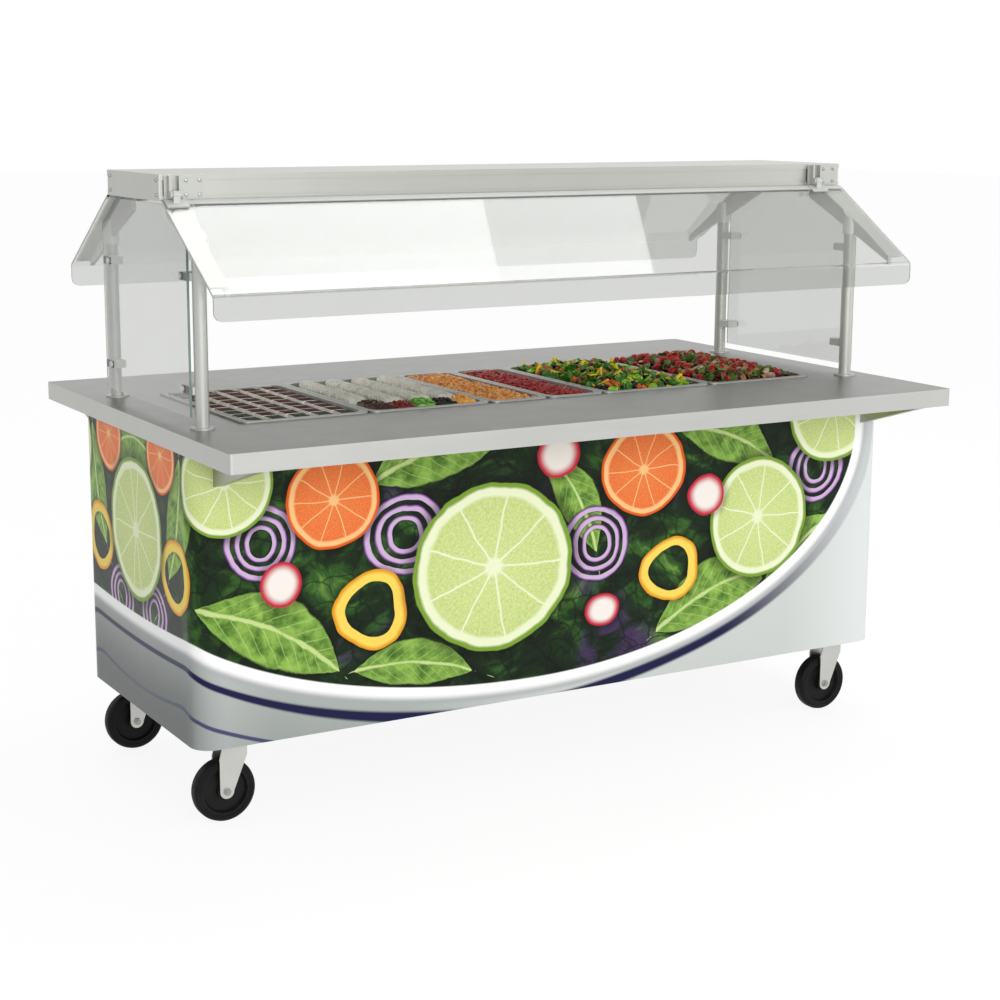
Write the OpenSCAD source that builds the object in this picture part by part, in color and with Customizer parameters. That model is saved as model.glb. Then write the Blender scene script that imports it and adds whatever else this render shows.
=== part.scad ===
// Mobile salad bar: a wheeled cold-well counter with a glass-ended canopy
// and a sloped clear guard on each long side.
// Origin on the floor under the middle of the cabinet. X runs along the
// counter, the front is towards -Y, Z is up.

/* [Worktop] */
// Length of the worktop
top_l = 1984; // [1900:1:2100]
// Depth of the worktop, front to back
top_w = 1220; // [1140:1:1300]
// Height of the worktop above the floor
top_h = 914; // [880:1:950]
// Sheet thickness of the worktop
top_t = 2; // [1.5:0.5:3]
// Depth of the turned-down edge
top_edge = 44; // [36:1:56]
// Width of the lip folded in at the bottom of the edge
top_lip = 6; // [4:1:7]
// Corner radius of the worktop
top_r = 8; // [8:1:30]

/* [Cabinet] */
// How far the worktop passes the cabinet at each end
end_reveal = 11; // [11:1:20]
// How far the worktop overhangs the cabinet at the front and the back
side_overhang = 245; // [200:1:270]
// Radius of the cabinet's vertical corners
cab_r = 50; // [35:1:80]
// Thickness of the cabinet skin
skin_t = 2; // [1.5:0.5:3]
// Thickness of the floor pan
floor_t = 2; // [1.5:0.5:3]

/* [Door in the back] */
// Width of the door opening
door_w = 700; // [500:1:720]
// Height of the door opening
door_h = 520; // [400:1:540]
// Height of the door opening's sill above the floor
door_sill = 262; // [250:1:280]
// Gap all round the door
door_gap = 3; // [2:0.5:5]
// Thickness of the door
door_t = 20; // [16:1:26]
// Sheet thickness of the door and its frame
door_sheet = 2; // [1.5:0.5:3]
// How far the door frame reaches into the cabinet
jamb_depth = 26; // [24:1:34]
// Radius of the hinge knuckles
knuckle_r = 4.5; // [4:0.5:6]
// Radius of the door's hinge pins
door_pin_r = 2.5; // [2:0.1:3]
// Length of each hinge
hinge_len = 62; // [50:1:80]
// Length of the door pull
pull_len = 140; // [100:1:180]
// Radius of the door pull's rod
pull_r = 5; // [4:0.5:7]
// Stand-off of the door pull
pull_out = 32; // [26:1:40]

/* [Base and frame] */
// Side of the chassis tubes
rail_s = 40; // [30:1:45]
// Wall of the chassis tubes
rail_wall = 3; // [2:0.5:4]
// Thickness of the caster pads
pad_t = 6; // [4:1:8]
// Side of the upper frame's tubes
stud_s = 30; // [25:1:32]
// Wall of the upper frame's tubes
stud_wall = 2; // [1.5:0.5:3]
// Distance of the upper frame from the skin
frame_inset = 16; // [15:1:20]

/* [Worktop gussets] */
// Distance of the gussets' middles from the worktop's ends
gusset_in = 74; // [70:1:110]
// Width of a gusset
gusset_w = 24; // [18:1:40]
// Sheet thickness of a gusset
gusset_t = 3; // [2:0.5:4]
// Depth of a gusset at the cabinet, below the worktop sheet
gusset_root = 115; // [90:1:140]

/* [Cold well] */
// Distance of the well's opening from the worktop's ends
well_end = 184.5; // [180:0.5:230]
// Distance of the well's opening from the cabinet's long faces
well_side = 110.5; // [95:0.5:130]
// Depth of the well below the worktop
well_d = 200; // [170:1:230]
// Sheet thickness of the well liner
liner_t = 2; // [1:0.5:3]
// Thickness of the foam round the well
foam_t = 25; // [15:1:30]
// Sheet thickness of the well's outer jacket
jacket_t = 1.2; // [1:0.1:2]
// Width of the divider bars
bar_w = 18; // [14:1:20]
// Depth of the divider bars
bar_d = 20; // [14:1:26]
// Place of the drain along the well
drain_x = 120; // [-200:1:250]
// Outer radius of the drain pipe
drain_r = 16.8; // [14:0.1:18]
// Bore radius of the drain pipe
drain_bore = 13.5; // [10:0.1:13.5]
// Radius of the valve's stem
stem_r = 4; // [3:0.5:5]
// Length of the valve's lever
lever_len = 95; // [70:1:120]

/* [Food pans] */
// How far the pans rest on the worktop at the edge of the well
pan_rest = 9; // [6:0.5:10]
// Gap between the pans of two bays
bay_gap = 2; // [1:0.5:4]
// Width of the flange round a pan
pan_flange = 11; // [10:0.5:14]
// Depth of a pan
pan_d = 100; // [65:1:110]
// Wall of a pan
pan_t = 1.2; // [1:0.1:2]
// Height of the rolled rim
pan_rim = 4; // [3:0.5:6]
// How much each side of a pan leans in
pan_lean = 9; // [5:1:14]
// Inside corner radius of a pan
pan_r = 34; // [20:1:45]
// Gap between two pans that share a bay
half_gap = 1; // [0.5:0.5:3]

/* [Canopy] */
// Overall height to the top of the beam
canopy_h = 1471; // [1440:1:1500]
// Height of the top beam
beam_h = 59; // [50:1:70]
// Depth of the top beam, front to back
beam_w = 344; // [300:1:380]
// Distance of the top beam's ends from the worktop's ends
beam_in = 28; // [20:1:36]
// Wall of the top beam
beam_t = 2; // [1.5:0.5:3]
// Thickness of the beam's end caps
cap_t = 3; // [2:0.5:5]
// Depth of the recess along the beam's faces
beam_recess = 3; // [1:0.5:4]
// Distance of the posts from the worktop's ends
post_in = 74; // [70:1:84]
// Distance of the posts from the cabinet's long faces
post_side = 85; // [76:1:92]
// Radius of the posts
post_r = 16; // [16:0.5:21]
// Wall of the posts
post_wall = 2; // [1.5:0.5:3]
// Radius of the post's foot flange
foot_r = 28; // [25:0.5:32]
// Thickness of the foot flange
foot_t = 4; // [3:0.5:8]
// Radius of the post's stud
post_stud_r = 6; // [5:0.5:7]

/* [Guards] */
// Distance of a guard's ends from the beam's ends
guard_in = 2; // [1:0.5:6]
// Distance of a guard's upright lip from the middle of the counter
guard_reach = 472; // [440:1:500]
// Drop of a guard from its top edge to its bend
guard_drop = 185; // [150:1:210]
// Height of the upright lip
guard_lip = 55; // [40:1:70]
// Thickness of a guard
guard_t = 6; // [5:0.5:8]
// Inside radius of a guard's bend
bend_r = 8; // [5:1:14]
// Radius of the lip's lower corners
lip_corner_r = 20; // [10:1:30]
// Distance of a guard's top edge from the beam's face
guard_set = 11; // [10:0.5:14]

/* [Arms and end glass] */
// Thickness of an arm's web
web_t = 10; // [8:1:14]
// Thickness of an arm's flange
flange_t = 5; // [4:0.5:7]
// Reach of an arm from the middle of the counter
arm_reach = 440; // [410:1:455]
// Depth of an arm at the beam
arm_root = 34; // [28:1:42]
// Depth of an arm at its nose
arm_nose = 16; // [12:1:20]
// Wall of the post sockets
socket_wall = 4; // [3:0.5:6]
// Depth of the post sockets
socket_d = 25; // [18:1:32]
// Thickness of the end glass
glass_t = 6; // [5:0.5:8]
// Gap between the end glass and the worktop
glass_lift = 26; // [20:1:40]
// Distance of the end glass's edges from the posts' middles
glass_set = 6; // [5:1:20]
// Height of the lower glass clamps above the worktop
clamp_low = 86; // [60:1:150]
// Distance of the upper glass clamps below the tops of the posts
clamp_drop = 62; // [50:1:150]

/* [Guard hinges] */
// Radius of the guards' hinge pins
hinge_pin_r = 4; // [3:0.5:5]
// Radius of the hinge ears
ear_r = 10; // [8:0.5:11]
// Thickness of the hinge ears
ear_t = 16; // [10:1:18]
// Width of a hinge bracket
bracket_w = 98; // [80:1:110]
// Distance of a bracket's middle from the beam's end
bracket_in = 59; // [56:1:70]
// Distance of a hinge ear from the bracket's middle
ear_off = 27; // [20:1:30]
// Distance of the hinge pin from the beam's face
pivot_out = 16; // [14:0.5:20]
// Height of the hinge pin above the beam's bottom
pivot_up = 14; // [12:0.5:20]

/* [Casters] */
// Height of a caster, floor to top plate
caster_h = 193; // [185:1:205]
// Diameter of the wheels
wheel_d = 150; // [125:1:152]
// Width of the tread
wheel_w = 34; // [28:1:36]
// How far the axle trails the swivel
trail = 21; // [15:1:30]
// Distance of the swivels from the cabinet's ends
caster_in_x = 106; // [90:1:140]
// Distance of the swivels from the cabinet's sides
caster_in_y = 67; // [60:1:90]
// Length of the caster's top plate
plate_x = 110; // [100:1:120]
// Width of the caster's top plate
plate_y = 90; // [80:1:100]
// Thickness of the caster's top plate
plate_t = 4; // [3:0.5:6]
// Radius of the kingpin
king_r = 6; // [5:0.5:8]
// Radius of the wheel axle
axle_r = 5; // [4:0.5:6]
// Thickness of the fork
fork_t = 4; // [3:0.5:5]

/* [Running fits] */
// Radial clearance of pins in their bores
pin_fit = 0.08; // [0.05:0.01:0.1]
// Gap where moving pieces rest on fixed ones
rest_gap = 0.3; // [0.2:0.05:0.5]

/* [Hidden] */
$fn = 48;
far = 4000;

// Cabinet, worktop and base
cab_l = top_l - 2 * end_reveal;
cab_w = top_w - 2 * side_overhang;
cab_face = cab_w / 2;
sheet_z = top_h - top_t;
edge_z = top_h - top_edge;
rail_z = caster_h + pad_t;
floor_z = rail_z + rail_s;
inside_l = cab_l - 2 * skin_t;
inside_w = cab_w - 2 * skin_t;
caster_x = cab_l / 2 - caster_in_x;
caster_y = cab_w / 2 - caster_in_y;
frame_x = inside_l / 2 - frame_inset - stud_s / 2;
frame_y = inside_w / 2 - frame_inset - stud_s / 2;
door_top = door_sill + door_h;
door_axis_x = -door_w / 2 + door_gap / 2;
knuckle_gap = 0.5;
door_axis_y = cab_face + knuckle_r + knuckle_gap;
hinge_in = 80;
hinge_leaf = 32;
catch_d = 18;
stud_by_door = door_w / 2 + 10 + door_sheet + stud_s / 2;
bolt_clear = 0.2;
stud_clear = 0.5;

// Cold well
well_x = top_l - 2 * well_end;
well_y = cab_w - 2 * well_side;
well_z = top_h - well_d;
well_r = 12;
liner_flange = 14;
drain_flange_r = drain_r + 13;
drain_neck = 30;
valve_top = well_z - liner_t - foam_t - jacket_t - drain_neck;
valve_h = 80;
valve_r = drain_r + 6;
valve_socket = 15;
stem_z = valve_top - valve_h * 0.6;
stem_boss_r = 10;
stem_boss_y = valve_r + 12;

// Canopy
beam_l = top_l - 2 * beam_in;
guard_l = beam_l - 2 * guard_in;
post_x = top_l / 2 - post_in;
post_y = cab_face - post_side;
glass_half = post_y - glass_set;
gusset_x = top_l / 2 - gusset_in;
beam_z = canopy_h - beam_h;
guard_top_y = beam_w / 2 + guard_set;
slope = atan2(guard_drop, guard_reach - guard_top_y);
slope_n = [sin(slope), cos(slope)];
slope_s = [cos(slope), -sin(slope)];
bend_o = bend_r + guard_t;
bend_y = guard_reach - bend_o;
bend_z = beam_z - (bend_o + slope_n[0] * (bend_y - guard_top_y)) / slope_n[1];
lip_z = beam_z - guard_drop - guard_lip;
flange_top = guard_t + rest_gap;
arm_in = 110;
flange_out = guard_l / 2 - 4;
flange_root = 64;
flange_tip = 34;
socket_roof = 8;
socket_top = slope_z(post_y + post_r + socket_wall, flange_top + flange_t) - 2;
post_top = socket_top - socket_roof;
stud_below = 28;
glass_in = post_x + post_r + socket_wall + 1;
glass_out = glass_in + glass_t;
pivot_y = beam_w / 2 + pivot_out;
pivot_z = beam_z + pivot_up;
bracket_t = 3;
cheek_t = 6;
cheek_gap = 0.6;
bracket_x = beam_l / 2 - bracket_in;
saddle_l = 44;
saddle_h = 18;
clamp_z = [top_h + clamp_low, post_top - clamp_drop];
clamp_bolt_y = post_y - saddle_l;
clamp_cap_t = 4;
clamp_bolt_r = 3;

// Casters
race_h = 8;
race_r = 32;
fork_top = caster_h - plate_t - race_h - rest_gap;
fork_gap = 4;
fork_y = wheel_w / 2 + fork_gap;
wheel_r = wheel_d / 2;
core_r = wheel_r - 15;
hub_r = 20;
king_head_h = 6;
plate_bolt_r = 4;
plate_hole_x = 40;
plate_hole_y = 31;

// Pans and food
bays = 5;
bay_pitch = (well_x + 2 * pan_rest + bay_gap) / bays;
pan_x = bay_pitch - bay_gap;
pan_y = well_y + 2 * pan_rest;
half_pan_x = (pan_x - half_gap) / 2;
pan_seat = top_h + rest_gap;
food_gap = 0.4;
food_edge = -8;
food_level = -14;
food_margin = 0.32 * pan_r; // keeps square pieces out of the round corners
food_x = pan_x - 2 * (pan_flange + pan_t + food_gap + wall_lean(food_level) + food_margin);
food_y = pan_y - 2 * (pan_flange + pan_t + food_gap + wall_lean(food_level) + food_margin);

// Height of a line parallel to the guard's outer face, a depth d below it,
// at a distance u from the middle of the counter
function slope_z(u, d = 0) = beam_z - d / slope_n[1] - (u - guard_top_y) * tan(slope);

// ---- shared outlines ----

module rounded(l, w, r) {
    square([l - 2 * r, w], center = true);
    square([l, w - 2 * r], center = true);
    for (x = [-1, 1], y = [-1, 1])
        translate([x * (l / 2 - r), y * (w / 2 - r)])
            circle(r);
}

module slab(l, w, r, z, h) {
    translate([0, 0, z])
        linear_extrude(h)
            rounded(l, w, r);
}

// Draws an outline given as [distance from the middle, height], w wide about x
module profile_at(x, w) {
    translate([x - w / 2, 0, 0])
        rotate([90, 0, 90])
            linear_extrude(w)
                children();
}

// A child drawn for the back right, at all four corners
module four_ways() {
    for (x = [0, 1], y = [0, 1])
        mirror([x, 0, 0])
            mirror([0, y, 0])
                children();
}

module tube_x(l, s, wall) {
    rotate([90, 0, 90])
        linear_extrude(l, center = true)
            difference() {
                square(s, center = true);
                square(s - 2 * wall, center = true);
            }
}

module tube_y(l, s, wall) {
    rotate([0, 0, 90])
        tube_x(l, s, wall);
}

module tube_z(h, s, wall) {
    linear_extrude(h)
        difference() {
            square(s, center = true);
            square(s - 2 * wall, center = true);
        }
}

// ---- worktop and cabinet ----

module worktop() {
    color("gainsboro")
        difference() {
            slab(top_l, top_w, top_r, edge_z, top_edge);
            slab(top_l - 2 * top_t, top_w - 2 * top_t, top_r - top_t,
                 edge_z + top_t, top_edge - 2 * top_t);
            slab(top_l - 2 * (top_t + top_lip), top_w - 2 * (top_t + top_lip), 2,
                 edge_z - 1, top_t + 2);
            slab(well_x, well_y, well_r, sheet_z - 1, top_t + 2);
            four_ways()
                translate([post_x, post_y, sheet_z - 1])
                    cylinder(r = post_stud_r + stud_clear, h = top_t + 2);
        }
}

module gusset() {
    tip_y = top_w / 2 - top_t - top_lip - 3;
    tip_z = edge_z - 1;
    root_z = sheet_z - gusset_root;
    lean = (tip_z - root_z) / (tip_y - cab_face);
    difference() {
        profile_at(gusset_x, gusset_w)
            polygon([[cab_face, sheet_z], [tip_y, sheet_z], [tip_y, tip_z], [cab_face, root_z]]);
        profile_at(gusset_x, gusset_w - 2 * gusset_t)
            polygon([
                [cab_face + gusset_t, sheet_z + 1],
                [tip_y - gusset_t, sheet_z + 1],
                [tip_y - gusset_t, tip_z + gusset_t - lean * gusset_t],
                [cab_face + gusset_t, root_z + gusset_t + lean * gusset_t]
            ]);
    }
}

module worktop_gussets() {
    color("silver")
        four_ways()
            gusset();
}

module door_box(w, h, y0, y1) {
    translate([-w / 2, y0, door_sill + (door_h - h) / 2])
        cube([w, y1 - y0, h]);
}

module cabinet_shell() {
    color([0.86, 0.9, 0.8])
        difference() {
            union() {
                difference() {
                    slab(cab_l, cab_w, cab_r, caster_h, sheet_z - caster_h);
                    slab(inside_l, inside_w, cab_r - skin_t, caster_h - 1, sheet_z - caster_h + 2);
                }
                door_box(door_w + 2 * door_sheet, door_h + 2 * door_sheet,
                         cab_face - jamb_depth, cab_face);
            }
            door_box(door_w, door_h, cab_face - jamb_depth - 1, cab_face + 1);
        }
}

module chassis() {
    end_gap = 14;
    pad_x = plate_x + 10;
    pad_y = plate_y + 6;
    color("dimgray") {
        for (y = [-1, 1])
            translate([0, y * caster_y, rail_z + rail_s / 2])
                tube_x(inside_l - 2 * end_gap, rail_s, rail_wall);
        for (k = [-2:2])
            translate([k * caster_x / 2, 0, rail_z + rail_s / 2])
                tube_y(2 * caster_y - rail_s, rail_s, rail_wall);
        four_ways()
            translate([caster_x, caster_y, caster_h])
                difference() {
                    translate([-pad_x / 2, -pad_y / 2, 0])
                        cube([pad_x, pad_y, pad_t]);
                    for (x = [-1, 1], y = [-1, 1])
                        translate([x * plate_hole_x, y * plate_hole_y, -1])
                            cylinder(r = plate_bolt_r + bolt_clear, h = pad_t + 2);
                }
    }
}

module floor_pan() {
    color("lightgray")
        difference() {
            slab(inside_l, inside_w, cab_r - skin_t, rail_z, rail_s + floor_t);
            slab(inside_l - 2 * floor_t, inside_w - 2 * floor_t, cab_r - skin_t - floor_t,
                 rail_z - 1, rail_s + 1);
        }
}

module upper_frame() {
    foot = floor_z + floor_t;
    ring_z = sheet_z - stud_s;
    color("gray") {
        for (y = [-1, 1], x = [-frame_x, -stud_by_door, stud_by_door, frame_x])
            translate([x, y * frame_y, foot])
                tube_z(ring_z - foot, stud_s, stud_wall);
        for (y = [-1, 1])
            translate([0, y * frame_y, ring_z + stud_s / 2])
                tube_x(2 * frame_x + stud_s, stud_s, stud_wall);
        for (x = [-1, 1])
            translate([x * frame_x, 0, ring_z + stud_s / 2])
                tube_y(2 * frame_y - stud_s, stud_s, stud_wall);
    }
}

// ---- door in the back ----

module knuckle(z, h, bore) {
    translate([door_axis_x, door_axis_y, z])
        difference() {
            cylinder(r = knuckle_r, h = h);
            translate([0, 0, -1])
                cylinder(r = bore, h = h + 2);
        }
}

function hinge_levels() = [door_sill + hinge_in, door_top - hinge_in - hinge_len];
function knuckle_h() = hinge_len / 3;

module access_door() {
    w = door_w - 2 * door_gap;
    h = door_h - 2 * door_gap;
    color([0.86, 0.9, 0.8]) {
        difference() {
            door_box(w, h, cab_face - door_t, cab_face);
            door_box(w - 2 * door_sheet, h - 2 * door_sheet,
                     cab_face - door_t - 1, cab_face - door_sheet);
        }
        for (z = hinge_levels()) {
            knuckle(z + knuckle_h() + knuckle_gap, knuckle_h() - 2 * knuckle_gap,
                    door_pin_r + pin_fit);
            difference() {
                translate([door_axis_x, cab_face, z + knuckle_h() + knuckle_gap])
                    cube([hinge_leaf, door_sheet, knuckle_h() - 2 * knuckle_gap]);
                translate([door_axis_x, door_axis_y, z])
                    cylinder(r = knuckle_r - knuckle_gap, h = hinge_len);
            }
        }
    }
}

module door_hinges() {
    color("silver")
        for (z = hinge_levels()) {
            for (k = [0, 2]) {
                knuckle(z + k * knuckle_h(), knuckle_h(), door_pin_r - knuckle_gap);
                difference() {
                    translate([door_axis_x - hinge_leaf, cab_face, z + k * knuckle_h()])
                        cube([hinge_leaf, door_sheet, knuckle_h()]);
                    translate([door_axis_x, door_axis_y, z - 1])
                        cylinder(r = knuckle_r - knuckle_gap, h = hinge_len + 2);
                }
            }
            translate([door_axis_x, door_axis_y, z])
                cylinder(r = door_pin_r, h = hinge_len);
            translate([door_axis_x - hinge_leaf, cab_face, z])
                cube([hinge_leaf - knuckle_r - 2, door_sheet, hinge_len]);
        }
}

module door_pull() {
    from_edge = 60;
    x = door_w / 2 - from_edge;
    z = door_sill + door_h / 2;
    color("silver") {
        for (s = [-1, 1])
            translate([x, cab_face, z + s * (pull_len / 2 - pull_r)])
                rotate([-90, 0, 0])
                    cylinder(r = pull_r, h = pull_out);
        translate([x, cab_face + pull_out, z - pull_len / 2 + pull_r])
            cylinder(r = pull_r, h = pull_len - 2 * pull_r);
        for (s = [-1, 1])
            translate([x, cab_face + pull_out, z + s * (pull_len / 2 - pull_r)])
                sphere(r = pull_r);
    }
}

module door_catch() {
    from_edge = 90;
    w = 40;
    h = 14;
    color("white")
        translate([door_w / 2 - from_edge, cab_face - door_t - rest_gap - catch_d, door_top - h])
            cube([w, catch_d, h]);
}

// ---- cold well ----

module well_box(out) {
    z = well_z - out;
    slab(well_x + 2 * out, well_y + 2 * out, well_r + out, z, sheet_z - z);
}

module drain_hole(r) {
    translate([drain_x, 0, well_z - far / 2])
        cylinder(r = r, h = far);
}

module well_liner() {
    color("silver")
        difference() {
            union() {
                well_box(liner_t);
                slab(well_x + 2 * liner_flange, well_y + 2 * liner_flange, well_r + liner_flange,
                     sheet_z - liner_t, liner_t);
            }
            translate([0, 0, 1])
                well_box(0);
            well_box(0);
            drain_hole(drain_r + bolt_clear);
        }
}

module well_insulation() {
    color("khaki")
        difference() {
            slab(well_x + 2 * (liner_t + foam_t), well_y + 2 * (liner_t + foam_t),
                 well_r + liner_t + foam_t, well_z - liner_t - foam_t,
                 well_d + foam_t - top_t);
            well_box(liner_t);
            slab(well_x + 2 * liner_flange, well_y + 2 * liner_flange, well_r + liner_flange,
                 sheet_z - liner_t, liner_t + 1);
            drain_hole(drain_r + bolt_clear);
        }
}

module well_jacket() {
    out = liner_t + foam_t;
    color("darkgray")
        difference() {
            well_box(out + jacket_t);
            translate([0, 0, 1])
                well_box(out);
            well_box(out);
            drain_hole(drain_r + bolt_clear);
        }
}

module divider_bars() {
    wall = 2;
    color("silver")
        for (k = [1:bays - 1])
            translate([(k - bays / 2) * bay_pitch, 0, top_h - bar_d])
                difference() {
                    translate([-bar_w / 2, -well_y / 2, 0])
                        cube([bar_w, well_y, bar_d]);
                    translate([-bar_w / 2 + wall, -well_y / 2 - 1, -1])
                        cube([bar_w - 2 * wall, well_y + 2, bar_d - wall + 1]);
                }
}

module drain_pipe() {
    flange_h = 3;
    pipe_end = valve_top - valve_socket;
    color("silver")
        difference() {
            union() {
                translate([drain_x, 0, well_z])
                    cylinder(r = drain_flange_r, h = flange_h);
                translate([drain_x, 0, pipe_end])
                    cylinder(r = drain_r, h = well_z - pipe_end + 1);
            }
            translate([drain_x, 0, pipe_end - 1])
                cylinder(r = drain_bore, h = far);
        }
}

module drain_valve() {
    color("goldenrod")
        difference() {
            union() {
                translate([drain_x, 0, valve_top - valve_h])
                    cylinder(r = valve_r, h = valve_h);
                translate([drain_x, 0, stem_z])
                    rotate([-90, 0, 0])
                        cylinder(r = stem_boss_r, h = stem_boss_y);
            }
            translate([drain_x, 0, valve_top - valve_socket])
                cylinder(r = drain_r, h = valve_socket + 1);
            translate([drain_x, 0, valve_top - valve_h - 1])
                cylinder(r = drain_bore, h = valve_h + 2);
            translate([drain_x, valve_r - 4, stem_z])
                rotate([-90, 0, 0])
                    cylinder(r = stem_r + pin_fit, h = stem_boss_y);
        }
}

module valve_lever() {
    grip_y = stem_boss_y + rest_gap;
    lever_w = 14;
    lever_t = 4;
    knob_r = 9;
    knob_h = 12;
    color("firebrick") {
        translate([drain_x, valve_r - 3, stem_z])
            rotate([-90, 0, 0])
                cylinder(r = stem_r, h = grip_y - valve_r + 6);
        translate([drain_x, grip_y, stem_z])
            rotate([-90, 0, 0])
                cylinder(r = stem_boss_r, h = lever_t);
        translate([drain_x - lever_w / 2, grip_y, stem_z - lever_len])
            cube([lever_w, lever_t, lever_len]);
        translate([drain_x, grip_y, stem_z - lever_len])
            rotate([-90, 0, 0])
                cylinder(r = knob_r, h = knob_h);
    }
}

// ---- canopy ----

module beam_outline(shrink) {
    hw = beam_w / 2 - shrink;
    upper = 13;
    lower = 11;
    polygon([
        [-hw, beam_z], [hw, beam_z],
        [hw, beam_z + lower], [hw - beam_recess, beam_z + lower],
        [hw - beam_recess, canopy_h - upper], [hw, canopy_h - upper],
        [hw, canopy_h], [-hw, canopy_h],
        [-hw, canopy_h - upper], [-hw + beam_recess, canopy_h - upper],
        [-hw + beam_recess, beam_z + lower], [-hw, beam_z + lower]
    ]);
}

module top_beam() {
    inner_w = beam_w - 2 * (beam_recess + beam_t);
    color("gainsboro")
        profile_at(0, beam_l - 2 * cap_t)
            difference() {
                beam_outline(0);
                translate([-inner_w / 2, beam_z + beam_t])
                    square([inner_w, beam_h - 2 * beam_t]);
            }
}

module beam_end_caps() {
    color("silver")
        for (x = [-1, 1])
            profile_at(x * (beam_l / 2 - cap_t / 2), cap_t)
                beam_outline(0);
}

module canopy_posts() {
    color("silver")
        four_ways()
            translate([post_x, post_y, top_h]) {
                difference() {
                    union() {
                        cylinder(r = post_r, h = post_top - top_h);
                        cylinder(r = foot_r, h = foot_t);
                    }
                    translate([0, 0, foot_t])
                        cylinder(r = post_r - post_wall, h = post_top - top_h);
                }
                translate([0, 0, -stud_below])
                    cylinder(r = post_stud_r, h = stud_below + 1);
            }
}

module post_nuts() {
    nut_r = 10;
    nut_h = 10;
    washer_r = 12;
    washer_t = 2.5;
    color("darkgray")
        four_ways()
            translate([post_x, post_y, sheet_z])
                difference() {
                    union() {
                        translate([0, 0, -washer_t])
                            cylinder(r = washer_r, h = washer_t);
                        translate([0, 0, -washer_t - nut_h])
                            cylinder(r = nut_r, h = nut_h, $fn = 6);
                    }
                    translate([0, 0, -stud_below])
                        cylinder(r = post_stud_r, h = stud_below + 1);
                }
}

// Side outline of an arm's web: along the guard's slope above, tapering to the nose
module web_outline() {
    polygon([
        [arm_in, beam_z - arm_root],
        [arm_in, beam_z],
        [guard_top_y - flange_top / sin(slope), beam_z],
        [arm_reach, slope_z(arm_reach, flange_top)],
        [arm_reach, slope_z(arm_reach, flange_top) - arm_nose],
    ]);
}

module arm() {
    root_y = guard_top_y - flange_top / sin(slope);
    run = (arm_reach - root_y) / cos(slope);
    in_root = flange_out - flange_root;
    in_tip = flange_out - flange_tip;
    profile_at(post_x, web_t)
        web_outline();
    // sloped flange that the guard rests on, narrower towards the nose
    translate([0, root_y, beam_z])
        rotate([-slope, 0, 0])
            translate([0, 0, -flange_t])
                linear_extrude(flange_t)
                    polygon([
                        [in_root, flange_t * tan(slope)], [flange_out, flange_t * tan(slope)],
                        [flange_out, run], [in_tip, run]
                    ]);
    // pad under the beam
    translate([in_root, arm_in, beam_z - flange_t])
        cube([post_x + post_r - in_root, root_y - arm_in + flange_t, flange_t]);
    // socket that takes the post
    difference() {
        translate([post_x, post_y, post_top - socket_d])
            cylinder(r = post_r + socket_wall, h = beam_z - post_top + socket_d);
        translate([0, root_y, beam_z])
            rotate([-slope, 0, 0])
                translate([post_x - arm_reach / 2, 0, -1])
                    cube([arm_reach, arm_reach, arm_reach]);
    }
}

module canopy_arms() {
    color("whitesmoke")
        four_ways()
            difference() {
                arm();
                translate([post_x, post_y, post_top - 2 * socket_d])
                    cylinder(r = post_r + bolt_clear, h = 2 * socket_d);
            }
}

module end_glass(side) {
    edge_gap = 3;
    clear = flange_top + flange_t + edge_gap;
    flat_z = beam_z - flange_t - edge_gap;
    flat_y = guard_top_y - (clear - (beam_z - flat_z) * cos(slope)) / sin(slope);
    difference() {
        profile_at(side * (glass_in + glass_t / 2), glass_t)
            polygon([
                [-glass_half, top_h + glass_lift], [glass_half, top_h + glass_lift],
                [glass_half, slope_z(glass_half, clear)], [flat_y, flat_z],
                [-flat_y, flat_z], [-glass_half, slope_z(glass_half, clear)]
            ]);
        for (y = [-1, 1], z = clamp_z)
            translate([side * glass_in, y * clamp_bolt_y, z])
                rotate([0, 90, 0])
                    cylinder(r = clamp_bolt_r + stud_clear, h = 4 * glass_t, center = true);
    }
}

module end_glass_left() {
    color([0.75, 0.85, 0.82, 0.35])
        end_glass(-1);
}

module end_glass_right() {
    color([0.75, 0.85, 0.82, 0.35])
        end_glass(1);
}

module glass_clamps() {
    bolt_edge = 10;
    y0 = clamp_bolt_y - bolt_edge;
    color("silver")
        four_ways()
            for (z = clamp_z)
                translate([0, 0, z]) {
                    difference() {
                        translate([post_x - bolt_edge, y0, -saddle_h / 2])
                            cube([glass_in - post_x + bolt_edge, post_y - y0, saddle_h]);
                        translate([post_x, post_y, -saddle_h])
                            cylinder(r = post_r, h = 2 * saddle_h);
                    }
                    translate([glass_in - 1, clamp_bolt_y, 0])
                        rotate([0, 90, 0])
                            cylinder(r = clamp_bolt_r, h = glass_t + 2);
                    translate([glass_out, clamp_bolt_y, 0])
                        rotate([0, 90, 0])
                            cylinder(r = saddle_h / 2 - 1, h = clamp_cap_t);
                }
}

// ---- guards and their hinges, drawn for the back and turned for the front ----

// Points of the bend from angle a0 to a1, at radius r
function bend_arc(r, a0, a1, steps = 16) = [
    for (i = [0:steps])
        [bend_y, bend_z] + r * [cos(a0 + (a1 - a0) * i / steps), sin(a0 + (a1 - a0) * i / steps)]
];

module guard_outline() {
    top = [guard_top_y, beam_z];
    polygon(concat(
        [top - guard_t * slope_n, top],
        bend_arc(bend_o, 90 - slope, 0),
        [[guard_reach, lip_z], [guard_reach - guard_t, lip_z]],
        bend_arc(bend_r, 0, 90 - slope)
    ));
}

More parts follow.
